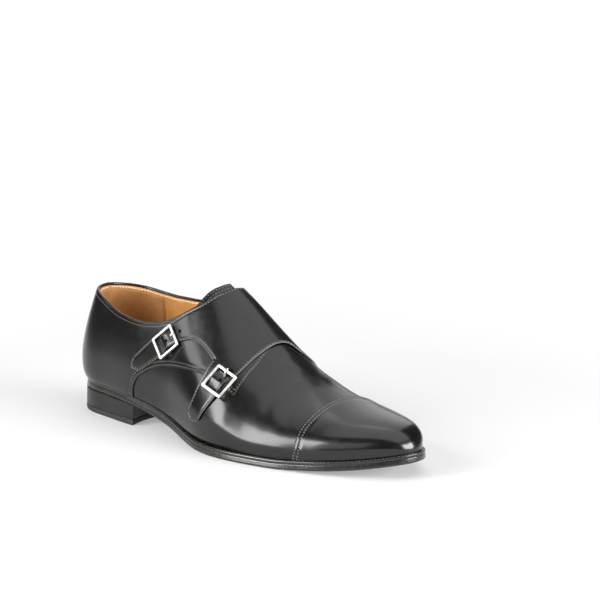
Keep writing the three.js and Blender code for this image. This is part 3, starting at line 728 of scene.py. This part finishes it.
def build_quarter_out():
    """Outer quarter: heel back to its front edge under the panel, seam below, topline above. Returns its
    stitch rows."""
    seam, front = line_of(SEAM_OUT, 200), line_of(FRONT_OUT, 100)
    low = np.concatenate([sided(np.linspace(0, along(SEAM_OUT[0][0]), 120), 0.0, -1), seam[1:]])
    top = np.linspace(0, along(-16), 200)
    top = np.concatenate([inset(sided(top, top_share(-1, top), -1), 1.1, -1)[:-6], line_of(HIDDEN_TOP, 80)])
    s, t = spaced(190, 230), spaced(70, 76, last=False)
    lower = pick(s, np.concatenate([np.linspace(0, .42, 120), np.linspace(.42, 1, 200)[1:]]), low)
    upper = pick(s, np.concatenate([np.linspace(0, .78, 194), np.linspace(.80, 1, 80)]), top)
    back = sided(0.0, np.linspace(0, upper[0, 1], 50), -1)
    grid = patch(lower, upper, at_share(back, t), at_share(front, t), s, t)
    edge = grid[:, -1]
    h = QUARTER - rolled(gap(grid, [seam, front, back]), 1.0) - grooves(gap(grid, [seam, front]), QUARTER_ROWS) \
        - grooves(gap(grid, [edge]), COLLAR_ROW, .12)
    amount = smooth((along(-14) - edge[:, 0]) / 14)
    outer_rows, inner_rows = wrap_rows(edge, h[:, -1], LINING_GAP, amount, 1)
    outer, inner = with_rows(grid, h, outer_rows), with_rows(grid, LINING_GAP, inner_rows)
    leather("quarter_outer", lattice(*outer.shape[:2]), skin(outer[..., :2], outer[..., 2]),
            skin(inner[..., :2], inner[..., 2]), "black_calf", "upper")
    rows = [part for a in QUARTER_ROWS for part in kept(inset(seam, a, 1)[4:-3], [seam, front], .8)]
    return rows + [inset(front, QUARTER_ROWS[0], 1)[6:-25], inset(edge[:-60], COLLAR_ROW[0], -1)]


# ---------------------------------------------------------------- inner quarter, panel and straps
SEAM_IN = [(-74, 2.0), (-72.5, 1.90), (-67, 1.81), (-57, 1.72), (-40, 1.63), (-20, 1.555), (0, 1.49), (18, 1.44),
           (35, 1.405)]
FRONT_EDGE = [(35, 1.405), (36.6, 1.40), (38.3, 1.32), (38.6, 1.22), (36.5, 1.13), (32.6, 1.05), (29.8, .97),
              (27.9, .88), (26.6, .80), (25.2, .72), (24.0, .66), (22.8, .61), (22.0, .575)]
REAR_EDGE = [(-36, 1.388), (-28.5, 1.335), (-20.5, 1.25), (-15, 1.155), (-12.2, 1.07), (-11, 1.0), (-12.8, .92),
             (-15.5, .845), (-19.6, .765), (-25, .69), (-30.5, .635), (-38, .565), (-45, .512)]
SCALLOP = [(2.9, .552), (-4, .56), (-10.5, .562), (-15.5, .556), (-21, .541), (-26, .515), (-31, .487)]
# edges of both straps, and the place of each buckle: x, g, turn and tilt in degrees
FRONT_STRAP = {
    "root": [(22, .575), (12, .567), (2.9, .552)],
    "fore": [(22, .575), (18.5, .49), (14.7, .401), (9.5, .3), (5, .212)],
    "tip": [(5, .212), (1, .192), (-2.5, .188), (-5, .205), (-7, .23)],
    "back": [(2.9, .552), (.8, .46), (-1.6, .37), (-5, .275), (-7, .23)],
    "buckle": (14.8, .487, 275.0, -4.0)}
REAR_STRAP = {
    "root": [(-31, .487), (-38, .5), (-45, .512)],
    "fore": [(-31, .487), (-41, .405), (-53, .322), (-66.5, .236)],
    "tip": [(-66.5, .236), (-71, .234), (-75, .236), (-74.6, .262), (-73.2, .288)],
    "back": [(-45, .512), (-53.5, .44), (-62.5, .366), (-73.2, .288)],
    "buckle": (-42.6, .436, 246.5, -4.0)}
PANEL_TOP, PANEL_ROW, SEAM_ROW = 2.3, 1.15, 3.5


def on_strap(place):
    """Flat coordinates of a buckle: a along the strap towards its tip, b across it, h off the last. The plane
    touches the last's slope at the place, is turned in it and tilted a little about b."""
    x, g, turn, tilt = place
    uv = np.array([float(along(x)), g])
    p0, up = skin(uv), way(uv)
    one = unit(skin(uv + (1, 0)) - skin(uv - (1, 0)))
    two = np.cross(up, one)
    c, s = np.cos(np.radians(turn)), np.sin(np.radians(turn))
    b_way, flat = two * c - one * s, one * c + two * s
    c, s = np.cos(np.radians(tilt)), np.sin(np.radians(tilt))
    a_way, h_way = flat * c - up * s, up * c + flat * s

    def at(a, b, h):
        """Point in space at the flat coordinates a, b, h."""
        a, b, h = (np.asarray(k, float)[..., None] for k in (a, b, h))
        return p0 + a * a_way + b * b_way + h * h_way
    return at, p0, a_way, b_way, h_way


BULGE, BULGE_LENGTH, BULGE_WIDTH = 2.6, 18.4, 7.9


def strap_bulge(points, place):
    """Rise of a strap over the hidden centre bar of its buckle: a squared cosine along the strap."""
    _, p0, a_way, b_way, _ = on_strap(place)
    a, b = (points - p0) @ a_way, (points - p0) @ b_way
    crest = np.where(abs(a) < BULGE_LENGTH / 2, BULGE * np.cos(np.pi * a / BULGE_LENGTH) ** 2, 0)
    return crest * smooth(BULGE_WIDTH - abs(b))


def over_quarter(uv):
    """0 on the inner side, 1 where the panel lies over the outer quarter."""
    return smooth((1.26 - uv[..., 1]) / .36)


def panel_rise(uv):
    """Outer face of the inner quarter and the panel: one leather over the inner side, lifted over the outer
    quarter, settling again where the front strap reaches the vamp."""
    down = smooth((.45 - uv[..., 1]) / .14) * smooth((uv[..., 0] - along(-22)) / 8)
    return QUARTER + (PANEL_TOP - QUARTER) * over_quarter(uv) - .55 * down


def panel_height(uv):
    """The panel's outer face with the rise of both straps over their buckle bars."""
    p = skin(uv)
    return panel_rise(uv) + strap_bulge(p, REAR_STRAP["buckle"]) + strap_bulge(p, FRONT_STRAP["buckle"])


def panel_shares(front_end, rear_start):
    """Shares across the panel, fine at its edges and at both strap corners, which are among them."""
    fine, short, corners = FINE / 66, SHORT / 66, np.array([front_end, rear_start, 1.0])
    t = np.unique(np.concatenate([np.arange(0, 1, 1 / 62), fine, front_end - fine, front_end + fine,
                                  rear_start - short, rear_start + short, 1 - short]).round(6))
    t = t[(t >= 0) & (t <= 1)]
    t = t[np.concatenate([[True], np.diff(t) > .0012])]
    return np.unique(np.concatenate([t[abs(t[:, None] - corners).min(1) >= .0012], corners]))


def build_panel():
    """Inner quarter, panel over the instep and both straps as one leather. Returns its stitch rows and its cut
    edges."""
    seam, front, rear = (line_of(rows, 260) for rows in (SEAM_IN, FRONT_EDGE, REAR_EDGE))
    low = np.concatenate([sided(np.linspace(0, along(SEAM_IN[0][0]), 120), 0.0, 1), seam[1:], front[1:]])
    low_s = np.concatenate([np.linspace(0, .34, 120), np.linspace(.34, .62, 260)[1:], np.linspace(.62, 1, 260)[1:]])
    top = np.linspace(0, along(-38), 200)
    over = line_of([(-38, 1.408)] + REAR_EDGE, 260)
    top = np.concatenate([sided(top, top_share(1, top), 1)[:196], over[4:]])
    top_s = np.concatenate([np.linspace(0, .62, 200)[:196], np.linspace(.62, 1, 260)[4:]])
    front_end, rear_start = .36, .83
    s, t = spaced(250, 250), panel_shares(front_end, rear_start)
    lower, upper = pick(s, low_s, low), pick(s, top_s, top)
    amount = smooth((upper[:, 1] - .93) / .16) * smooth((1 - s) / .05)
    upper = inset(upper, 1.1 * amount, 1)
    upper[-1] = (float(along(-45)), .512)
    span_front, span_rear = t[t <= front_end] / front_end, (t[t >= rear_start] - rear_start) / (1 - rear_start)
    middle = (t[(t >= front_end) & (t < rear_start)] - front_end) / (rear_start - front_end)
    end = np.concatenate([at_share(line_of(FRONT_STRAP["root"], 80), span_front[:-1]),
                          at_share(line_of(SCALLOP, 160), middle),
                          at_share(line_of(REAR_STRAP["root"], 80), span_rear)])
    back = sided(0.0, np.linspace(0, 2 - upper[0, 1], 50), 1)
    grid = patch(lower, upper, at_share(back, t), end, s, t)

    straps, outline = [], []
    for strap, span, n in ((FRONT_STRAP, span_front, 62), (REAR_STRAP, span_rear, 66)):
        root, fore, tip, rear_side = (line_of(strap[k], 90, k == "tip") for k in ("root", "fore", "tip", "back"))
        down = np.unique(np.concatenate([np.linspace(0, 1, n), 1 - SHORT / 45]).round(6))
        sides = (at_share(fore, down), at_share(rear_side, down), at_share(root, span), at_share(tip, span))
        straps.append(patch(*sides, down, span))
        outline.append([fore, tip, rear_side[::-1]])
    outline = [front] + outline[0] + [line_of(SCALLOP, 120)] + outline[1]
    borders = [seam, rear[150:]] + outline

    def faced(m):
        """Heights of both faces: the rise, less the rolled edge and the stitch grooves on the outer face."""
        rise, d = panel_height(m), gap(m, borders)
        outer = rise - rolled(d, 1.2) - grooves(d, (PANEL_ROW,)) - grooves(gap(m, [grid[:140, -1]]), COLLAR_ROW, .12) \
            - grooves(gap(m, [seam]), (SEAM_ROW,))
        return outer, rise - (.98 + .27 * over_quarter(m))
    outer, inner = faced(grid)
    outer_rows, inner_rows = wrap_rows(grid[:, -1], outer[:, -1], panel_height(grid[:, -1]) - .98, amount, -1)
    grids = [np.concatenate([with_rows(grid, outer, outer_rows), with_rows(grid, inner, inner_rows)], -1)]
    grids += [np.concatenate([with_rows(m, h) for h in faced(m)], -1) for m in straps]
    net, faces = joined(grids, (2e3, 1e5, 1e3))
    leather("panel_and_straps", faces, skin(net[:, :2], net[:, 2]), skin(net[:, 3:5], net[:, 5]), "black_calf",
            "strap_panel", ("strap_panel",))
    rows = [inset(grid[:150, -1], COLLAR_ROW[0], 1)]
    for line, distance in [(seam, SEAM_ROW)] + [(line, PANEL_ROW) for line in [seam, rear[::-1]] + outline]:
        rows += kept(inset(line, distance, -1), borders, distance)
    return rows, [inset(line, .22, -1) for line in outline + [rear[::-1][:110]]]


# ---------------------------------------------------------------- tongue, heel grip, back strip
# g, x of the tongue's top edge
TONGUE_TOP = np.array([(.62, -33), (.70, -30), (.80, -26), (.90, -21.5), (1.0, -19.5), (1.1, -21.5), (1.2, -26),
                       (1.3, -31), (1.38, -35)])
TONGUE_ROWS = (1.7, 4.4)


def build_tongue():
    """Tongue under the vamp and the panel: its rounded top edge shows behind the panel. Returns its stitch rows."""
    g = np.linspace(.62, 1.38, 90)
    edge = np.stack([along(read(TONGUE_TOP[:, 0], TONGUE_TOP[:, 1], g)), g], -1)
    front = np.stack([np.full_like(g, along(46)), g], -1)
    t = spaced(60, 40, last=False)[:, None, None]
    uv, faces = joined([edge * (1 - t) + front * t])
    d = gap(uv, [edge])
    h = -2.75 - rolled(d, 1.1) - grooves(d, TONGUE_ROWS, .14)
    leather("tongue_leather", faces, skin(uv, h), skin(uv, -3.75), "black_calf", "tongue", ("tongue",))
    leather("tongue_lining", faces, skin(uv, -3.78), skin(uv, -4.45 + rolled(d, .6)), "tan_lining", "insole")
    return [inset(edge, a, -1)[4:-4] for a in TONGUE_ROWS]


# x, g of the seam in front of the heel grip
GRIP_SEAM = np.array([(-108.6, .02), (-108.1, .2), (-107.2, .356), (-106.2, .476), (-105.6, .52)])


def build_heel_grip():
    """Suede heel grip on the lining: round the inside of the heel between its two seams, ending under the
    collar. Returns its stitch rows."""
    v = np.linspace(0, 1, 46)[None, :]
    u = spaced(55, 44, first=False)[:, None] * along(np.interp(.05 + .43 * v, GRIP_SEAM[:, 1], GRIP_SEAM[:, 0]))
    rows = []
    for side, name in ((-1, "outer"), (1, "inner")):
        m = sided(u, .05 + (top_share(side, u) - 1.7 / WIDE_GIRTH - .05) * v, side)
        d = gap(m, [m[-1], m[:, -1]])
        h = -2.75 + rolled(d, .45, .5) + grooves(d, (1.2,), .12)
        leather("heel_grip_" + name, lattice(*m.shape[:2]), skin(m, -2.2), skin(m, h), "suede_lining", "insole")
        rows.append(inset(m[-1], 1.2, -side)[2:-2])
    return rows


STRIP_HALF, STRIP_ROW = 3.6, 2.5


def build_back_strip():
    """Narrow strip over the seam at the back of the heel, from the sole to just under the collar's stitching.
    Returns its stitch rows."""
    side = STRIP_HALF - FINE[:8]
    a = np.concatenate([-side, np.linspace(-1.6, 1.6, 9), side[::-1]])[:, None]
    t = spaced(45, 50, first=False)[None, :]
    uv = sided(a, (.515 - .012 * (a / STRIP_HALF) ** 2) * t, -1)
    d = np.minimum(STRIP_HALF - abs(a), (1 - t) * 42)
    h = QUARTER + .75 - rolled(d, .75, .6) - grooves(d, (STRIP_HALF - STRIP_ROW,), .12)
    leather("heel_back_strip", lattice(*uv.shape[:2]), skin(uv, h), skin(uv, np.full_like(h, QUARTER - .3)),
            "black_calf", "upper")
    return [sided(b, np.linspace(.03, .495, 80), -1) for b in (-STRIP_ROW, STRIP_ROW)]


# ---------------------------------------------------------------- sole and heel
SOLE_U = np.unique(np.concatenate([np.linspace(0, FAN, 40), np.linspace(FAN, U_CAP, 150), toe_rows(60)]).round(5))


def rim(side, u, offset):
    """Feather line moved outwards in plan by an offset."""
    uv = sided(u, 0.0, side)
    t = unit((skin(uv + (.4, 0)) - skin(uv - (.4, 0)))[..., :2])
    out = np.stack([t[..., 1], -t[..., 0]], -1) * -side
    return skin(uv)[..., :2] + out * np.asarray(offset)[..., None]


def sole_edge_at(side, u):
    """How far the sole stands out from the feather line."""
    return np.interp(skin(sided(u, 0.0, side))[..., 0], EDGE[:, 0], EDGE[:, 1])


def above_ground(plan, height):
    """Plan points set at a height above the underside of the sole."""
    return np.concatenate([plan, (ground(plan[:, 0]) + height)[:, None]], 1)


def edge_row(side, offset, height):
    """The sole's edge line moved by an offset, at a height above the underside."""
    return above_ground(rim(side, SOLE_U, sole_edge_at(side, SOLE_U) + offset), height)


def plank(left, right, across, sag=0.0):
    """Closed board between the rows of its left and its right edge, given from the underside up: the top is
    filled across and sinks to its middle as a parabola, the underside is filled straight."""
    share = np.linspace(0, 1, across + 1)[1:-1]
    top = [left[-1] * (1 - k) + right[-1] * k - (0, 0, sag * (1 - (2 * k - 1) ** 2)) for k in share]
    under = [right[0] * (1 - k) + left[0] * k for k in share]
    grid = np.stack(left + top + right[::-1] + under, 1)
    return grid.reshape(-1, 3), lattice(*grid.shape[:2], closed=True)


# edge profiles as (offset outwards, height)
SOLE_PROFILE = [(-6, 0), (-1.6, 0), (-.9, .05), (-.45, .22), (-.12, .6), (0, 1.0), (-.08, 1.6), (-.18, 2.2),
                (-.27, 2.8), (-.36, 3.4), (-.45, 3.9), (-.62, 4.02), (-6, 4.02)]
WELT_PROFILE = [(-.6, 4.05), (-.42, 4.1), (-.36, 4.25), (-.36, 4.8), (-.38, 5.3), (-.43, 5.65), (-.51, 5.93),
                (-.66, 6.1), (-.85, 6.15), (-1.25, 6.1), (-1.5, 6.0), (-1.75, 6.1), (-2.2, 6.15)]
SOCK_PROFILE = [(-6.0, 4.4), (-.3, 4.4), (0, 4.7), (0, 8.9), (-.2, 9.3), (-.7, 9.5), (-1.6, 9.55)]


def build_sole():
    """Outsole with a rounded, slightly leaning edge, welt ring with a stitch channel, and insole board with its
    sock. Returns the stitch rows of the welt."""
    sole = [[edge_row(side, o, h) for o, h in SOLE_PROFILE] for side in (-1, 1)]
    piece("outsole_leather", *plank(*sole, 12), "sole_edge", "outsole", ("outsole",))
    welt, sock, rows = [], [], []
    for side in (-1, 1):
        wide = sole_edge_at(side, SOLE_U)
        loop = [edge_row(side, o, h) for o, h in WELT_PROFILE] + [edge_row(side, -wide - 2.3, h) for h in (6.15, 4.12)]
        welt.append(np.stack(loop, 1)[:, ::-side])
        near_end = smooth(np.minimum(SOLE_U, U_END - SOLE_U) / 14)
        sock.append([above_ground(rim(side, SOLE_U, -2.75 + o * near_end), h) for o, h in SOCK_PROFILE])
        u = SOLE_U[4:-4]
        rows.append(above_ground(rim(side, u, wide[4:-4] - 1.5), 6.02))
    piece("welt_ring", *nets(welt, closed=True), "sole_edge", "welt", ("welt",))
    piece("insole_sock", *plank(*sock, 14, .5), "tan_sock", "insole", ("insole",))
    return rows


def heel_loop(n=380):
    """Heel outline: round the back from breast corner to breast corner and back along the hollow breast, as n
    even points, each evened with its neighbours."""
    sides = []
    for side in (-1, 1):
        u = np.linspace(FAN, FAN + 60, 1200)
        p = rim(side, u, sole_edge_at(side, u))
        corner = np.interp(0, p[:, 0] + 76 - .075 * (p[:, 1] + 39), u)
        u = np.linspace(0, corner, 220)
        sides.append(rim(side, u, sole_edge_at(side, u)))
    t = np.linspace(0, 1, 120)[1:-1, None]
    breast = sides[0][-1] * (1 - t) + sides[1][-1] * t - (1 - (2 * t - 1) ** 2) * (7.5, 0)
    loop = np.concatenate([sides[0], breast, sides[1][:0:-1], sides[0][:1]])
    s = run(loop)
    loop = pick(np.arange(n) / n * s[-1], s, loop)
    return (2 * loop + np.roll(loop, 1, 0) + np.roll(loop, -1, 0)) / 4


def heel_block(wall, low, high, low_flare, high_flare):
    """Solid on the heel outline: rows of (inset, share of the height) up the wall, closed to the middle at both
    ends. low and high are functions of x; the flares widen the block in front."""
    loop = heel_loop()
    t = unit(np.roll(loop, -1, 0) - np.roll(loop, 1, 0))
    inward = np.stack([-t[:, 1], t[:, 0]], -1)
    middle = np.array([-108.0, -1.0])
    inward *= np.sign(((middle - loop) * inward).sum())
    closing = (0.0, .35, .7, .92)
    out = []
    rows = [(0, 0, k) for k in closing] + [(*row, 1.0) for row in wall] + [(0, 1, k) for k in closing[::-1]]
    for inset_, share, scale in rows:
        q = middle + (loop + inward * inset_ - middle) * scale
        x = q[:, 0]
        flare = (.4 / 36) * (low_flare * (1 - share) + high_flare * share) * np.clip((x + 125) / 50, 0, 1)
        out.append(np.stack([x, q[:, 1] * (1 + flare), low(x) + (high(x) - low(x)) * share], -1))
    return nets([np.stack(out)], closed=True)


def build_heel():
    """Stacked heel of four lifts with fine lines between them, on a rubber top piece."""
    wall = [(.5, 0), (.15, .02), (0, .05)]
    for k in (.25, .5, .75):
        wall += [(0, k - .014), (.02, k - .004), (.02, k + .004), (0, k + .014)]
    wall += [(0, .955), (.12, .985), (.4, 1)]
    piece("heel_lifts", *heel_block(wall, lambda x: 4.12 + 0 * x, lambda x: ground(x) - .06, .8, 0),
          "heel_leather", "heel_stack", ("heel_stack",))
    wall = [(.5, 0), (.15, .06), (0, .2), (0, .8), (.1, .93), (.3, 1)]
    piece("heel_rubber_piece", *heel_block(wall, lambda x: 0 * x, lambda x: 4.0 + 0 * x, 1, .8),
          "heel_rubber", "heel_top_piece", ("heel_top_piece",))


# ---------------------------------------------------------------- buckles and holes
FRAME_LENGTH, FRAME_WIDTH, FRAME_BAR = 19.1, 18.0, 1.95
FRAME_BASE = PANEL_TOP + 1.3      # underside of the frame off the last
# section of the bar: share from the window outwards, height
BAR_SECTION = [(0, .45), (0, 1.45), (.05, 1.64), (.13, 1.79), (.25, 1.87), (.4, 1.9), (.6, 1.9), (.75, 1.87),
               (.87, 1.79), (.95, 1.64), (1, 1.45), (1, .45), (.92, .16), (.75, 0), (.25, 0), (.08, .16), (0, .45)]
# prong: place along the strap, height off the frame's underside, radius
PRONG = np.array([(-3.9, -1.4, .3), (-4.2, -1.2, .75), (-5.2, -.3, .82), (-6.3, 1.1, .85), (-7.3, 2.7, .85),
                  (-8.9, 2.85, .82), (-9.9, 2.8, .66), (-10.25, 2.75, .4), (-10.4, 2.75, .02)])


def frame_outline(half_a, half_b, radius, n_side=7, n_corner=6):
    """Rounded rectangle, corner by corner, the same number of points whatever its size."""
    arcs, out = [], []
    for k, (a, b) in enumerate(((1, 1), (-1, 1), (-1, -1), (1, -1))):
        w = np.radians(np.linspace(0, 90, n_corner) + 90 * k)
        middle = np.array([a * (half_a - radius), b * (half_b - radius)])
        arcs.append(middle + radius * np.stack([np.cos(w), np.sin(w)], -1))
    for arc, following in zip(arcs, arcs[1:] + arcs[:1]):
        out += [arc, arc[-1] + (following[0] - arc[-1]) * np.linspace(0, 1, n_side + 2)[1:-1, None]]
    return np.concatenate(out)


def build_buckle(name, node_name, place):
    """Rectangular frame: inner and outer outline with a bevelled section between them."""
    at, *_ = on_strap(place)
    outer = frame_outline(FRAME_LENGTH / 2, FRAME_WIDTH / 2, 1.25)
    inner = frame_outline(FRAME_LENGTH / 2 - FRAME_BAR, FRAME_WIDTH / 2 - FRAME_BAR, .4)
    grid = np.stack([at(*(inner + (outer - inner) * w).T, FRAME_BASE + h) for w, h in BAR_SECTION])
    piece(name, *nets([grid], closed=True), "silver", "buckles", (node_name,))


def tube(line, radius, side, up_scale, n):
    """Rings of n points round a line of points, flattened by up_scale across the side."""
    lift = np.cross(side, unit(np.gradient(line, axis=0)))
    w = ring(n)[None, :, None]
    return line[:, None] + radius[:, None, None] * (np.cos(w) * side[:, None] + up_scale * np.sin(w) * lift[:, None])


def build_prong(name, node_name, place):
    """Prong: a round pin that rises from under the strap and rests on the frame's bar, with a domed end."""
    at, _, _, b_way, _ = on_strap(place)
    a, h, r = pick(np.linspace(0, len(PRONG) - 1, 36), np.arange(len(PRONG)), PRONG).T
    line = at(a, 0.0, FRAME_BASE + h)
    grid = tube(line, r, np.broadcast_to(b_way, line.shape), .82, 14)
    ends = [np.broadcast_to(line[k], (1,) + grid.shape[1:]) for k in (0, -1)]
    piece(name, *nets([np.concatenate([ends[0], grid, ends[1]])], closed=True), "silver", "buckles", (node_name,))


# strap, and the hole's place on it along and across from the buckle's middle
HOLES = [(REAR_STRAP, -1.0, 0.0), (REAR_STRAP, -13.3, .3), (FRONT_STRAP, -1.2, .2), (FRONT_STRAP, -11.0, .4)]
HOLE_PROFILE = [(0, .05), (.7, .05), (.95, .07), (1.1, .16), (1.25, .12), (1.4, -.15), (0, -.15)]


def build_holes():
    """Punched holes of the straps: a dark disc, painted shade for the depth of the hole, inside a low rounded lip, one
    on the crest inside each buckle and one on the strap before it."""
    grids, w = [], ring(18)[:, None]
    for strap, a, b in HOLES:
        _, p0, a_way, b_way, _ = on_strap(strap["buckle"])
        uv = np.array([float(along(strap["buckle"][0])), strap["buckle"][1]])
        for _ in range(8):
            uv = moved(uv, p0 + a * a_way + b * b_way - skin(uv))
        base, up = skin(uv, panel_height(uv)), way(uv)
        one = unit(np.cross(up, [0, 0, 1.0]))
        two = np.cross(up, one)
        grids.append(np.stack([base + up * h + r * (np.cos(w) * one + np.sin(w) * two) for r, h in HOLE_PROFILE]))
    piece("strap_holes", *nets(grids, closed=True), "hole_dark", "strap_panel")


def build_panel_edge(rows, radius=.46):
    """Rounded raw edge of the panel: a thin rod that runs along each row under the outer face and sinks in at its
    ends. Its grey finish is a painted highlight along the edge, on top of the real gloss of the rod."""
    grids = []
    for row in rows:
        s = run(skin(row))
        k = np.linspace(0, s[-1], max(8, int(s[-1] / .8)))
        row = pick(k, s, row)
        line = skin(row, panel_rise(row) - .42)
        side = unit(np.cross(way(row), np.gradient(line, axis=0)))
        thin = np.sqrt(np.clip(np.minimum(k, s[-1] - k) / .6, .0004, 1))
        grids.append(tube(line, radius * thin, side, -1, 8))
    piece("panel_edge", *nets(grids, closed=True), "black_edge", "strap_panel")


# ---------------------------------------------------------------- assembly
build_shell()
cap_rows = build_cap()
quarter_rows = build_quarter_out()
panel_rows, panel_edges = build_panel()
tongue_rows = build_tongue()
grip_rows = build_heel_grip()
strip_rows = build_back_strip()
welt_rows = build_sole()
build_heel()
for which, strap in (("rear", REAR_STRAP), ("front", FRONT_STRAP)):
    build_buckle("buckle_frame_" + which, "buckle_" + which, strap["buckle"])
for which, strap in (("rear", REAR_STRAP), ("front", FRONT_STRAP)):
    build_prong("buckle_prong_" + which, "prong_" + which, strap["buckle"])
build_holes()
build_panel_edge(panel_edges)
seam_stitches("cap_stitches", cap_rows, CAP_RISE - .1, "black_thread_painted_sheen", "upper", pitch=2.1, length=1.1, wide=.5)
seam_stitches("quarter_stitches", quarter_rows, QUARTER - .1, "black_thread_painted_sheen", "upper")
seam_stitches("panel_stitches", panel_rows, lambda row: panel_height(row) - .1, "black_thread_painted_sheen", "strap_panel")
seam_stitches("tongue_stitches", tongue_rows, -2.85, "black_thread_painted_sheen", "tongue")
seam_stitches("back_strip_stitches", strip_rows, QUARTER + .65, "black_thread_painted_sheen", "upper")
seam_stitches("heel_grip_stitches", grip_rows, -2.68, "heel_leather", "insole", pitch=2.0, length=.8, wide=.3, high=.2)
stitches("welt_stitches", [(row, None) for row in welt_rows], "black_thread_painted_sheen", "welt", pitch=2.6, length=2.0, wide=.3,
         high=.22)
seam_stitches("lining_stitches", [line[3:-3] for line in topline_lines(2.6)], -2.25, "tan_thread", "insole",
              length=1.75)


# ---------------------------------------------------------------- camera and light
def around(az, el, far):
    """Spot at an azimuth, a height angle and a distance from the shoe."""
    a, e = np.radians(az), np.radians(el)
    return np.array([far * np.cos(e) * np.cos(a), far * np.cos(e) * np.sin(a), far * np.sin(e)])


def placed(name, data):
    """New object with this data in the scene."""
    obj = bpy.data.objects.new(name, data)
    bpy.context.scene.collection.objects.link(obj)
    return obj


def camera():
    """Camera on a sphere round its target, looking inwards, then rolled a little about its line of sight."""
    target, roll = np.array([.05436, -.00680, .10766]), np.radians(1.42)
    back = around(39.95 - 90, 11.98, 1.0)
    right = unit(np.cross(-back, [0, 0, 1]))
    up = np.cross(right, -back)
    r, u = right * np.cos(roll) + up * np.sin(roll), -right * np.sin(roll) + up * np.cos(roll)
    data = bpy.data.cameras.new("camera")
    data.sensor_width, data.lens = 36.0, 147.75
    data.clip_start, data.clip_end = .05, 60
    obj = placed("camera", data)
    spot = target + back * 1.65207
    obj.matrix_world = Matrix([[r[k], u[k], back[k], spot[k]] for k in range(3)] + [[0, 0, 0, 1]])
    bpy.context.scene.camera = obj


def soft_light(name, spot, size, power, target=(0, 0, .05)):
    """White rectangular lamp at a spot, turned to a target."""
    data = bpy.data.lights.new(name, "AREA")
    data.shape = "RECTANGLE"
    data.size, data.size_y = size
    data.energy = power
    obj = placed(name, data)
    obj.location = spot
    obj.rotation_mode = "QUATERNION"
    obj.rotation_quaternion = (Vector(target) - Vector(spot)).to_track_quat("-Z", "Y")


def pale_floor_glow_and_shade():
    """Pale matt floor with painted light: it glows faintly, more so far out, so that it reads white; on the side that
    only the dark heel reflects, the glow and the paint fade, a painted shade that the heel reflects as dark."""
    paint = bpy.data.materials.new("pale_floor_glow_and_shade")
    paint.use_nodes = True
    tree = paint.node_tree
    shader = tree.nodes["Principled BSDF"]
    for key, value in (("Roughness", .9), ("Specular IOR Level", .0), ("Emission Color", (1, 1, 1, 1))):
        shader.inputs[key].default_value = value
    place = node(tree, "ShaderNodeTexCoord").outputs["Object"]
    far_off = node(tree, "ShaderNodeVectorMath", operation="LENGTH")
    # painted light: the floor's glow grows from near the shoe to far out
    glow = node(tree, "ShaderNodeMapRange", From_Min=.3, From_Max=1.9, To_Min=.32, To_Max=1.1)
    # painted shade: towards the side the heel reflects, glow and paint fade to dark
    aside = node(tree, "ShaderNodeVectorMath", operation="DOT_PRODUCT")
    aside.inputs[1].default_value = around(-132, 0, 1.0)
    fade = node(tree, "ShaderNodeMapRange", interpolation_type="SMOOTHSTEP", From_Min=.24, From_Max=.52, To_Min=1.0,
                To_Max=.0)
    dimmed = node(tree, "ShaderNodeMath", operation="MULTIPLY")
    tone = node(tree, "ShaderNodeMix", data_type="RGBA")
    tone.inputs[6].default_value, tone.inputs[7].default_value = (.20, .20, .20, 1), (.45, .45, .45, 1)
    for source, target in ((place, far_off.inputs[0]), (far_off.outputs["Value"], glow.inputs["Value"]),
                           (place, aside.inputs[0]), (aside.outputs["Value"], fade.inputs["Value"]),
                           (glow.outputs[0], dimmed.inputs[0]), (fade.outputs[0], dimmed.inputs[1]),
                           (dimmed.outputs[0], shader.inputs["Emission Strength"]),
                           (fade.outputs[0], tone.inputs[0]), (tone.outputs[2], shader.inputs["Base Color"])):
        tree.links.new(source, target)
    return paint


camera()
scene = bpy.context.scene
scene.view_settings.view_transform = "Standard"
scene.view_settings.look = "None"
scene.world = bpy.data.worlds.new("studio")
scene.world.use_nodes = True
sky = scene.world.node_tree.nodes["Background"]
sky.inputs[0].default_value, sky.inputs[1].default_value = (1, 1, 1, 1), .035

soft_light("side_box", around(-108.5, 21, 1.7), (.8, 1.3), 42)
soft_light("side_fill", around(-77, 24, 1.7), (.6, .9), 2.2)
soft_light("crease_light", around(-139, 28, 1.7), (.5, .4), 3.4)
soft_light("front_box", around(13, 17, 1.9), (1.5, .75), 56)
soft_light("overhead", (.5, .1, 2.0), (2.2, 2.7), 29, target=(0, 0, .04))
soft_light("back_wall", around(136, 38, 2.7), (2.6, 3.1), 27)

floor_mesh = bpy.data.meshes.new("floor")
floor_mesh.from_pydata([(-14, -14, 0), (14, -14, 0), (14, 14, 0), (-14, 14, 0)], [], [(0, 1, 2, 3)])
floor_mesh.materials.append(pale_floor_glow_and_shade())
placed("floor", floor_mesh)
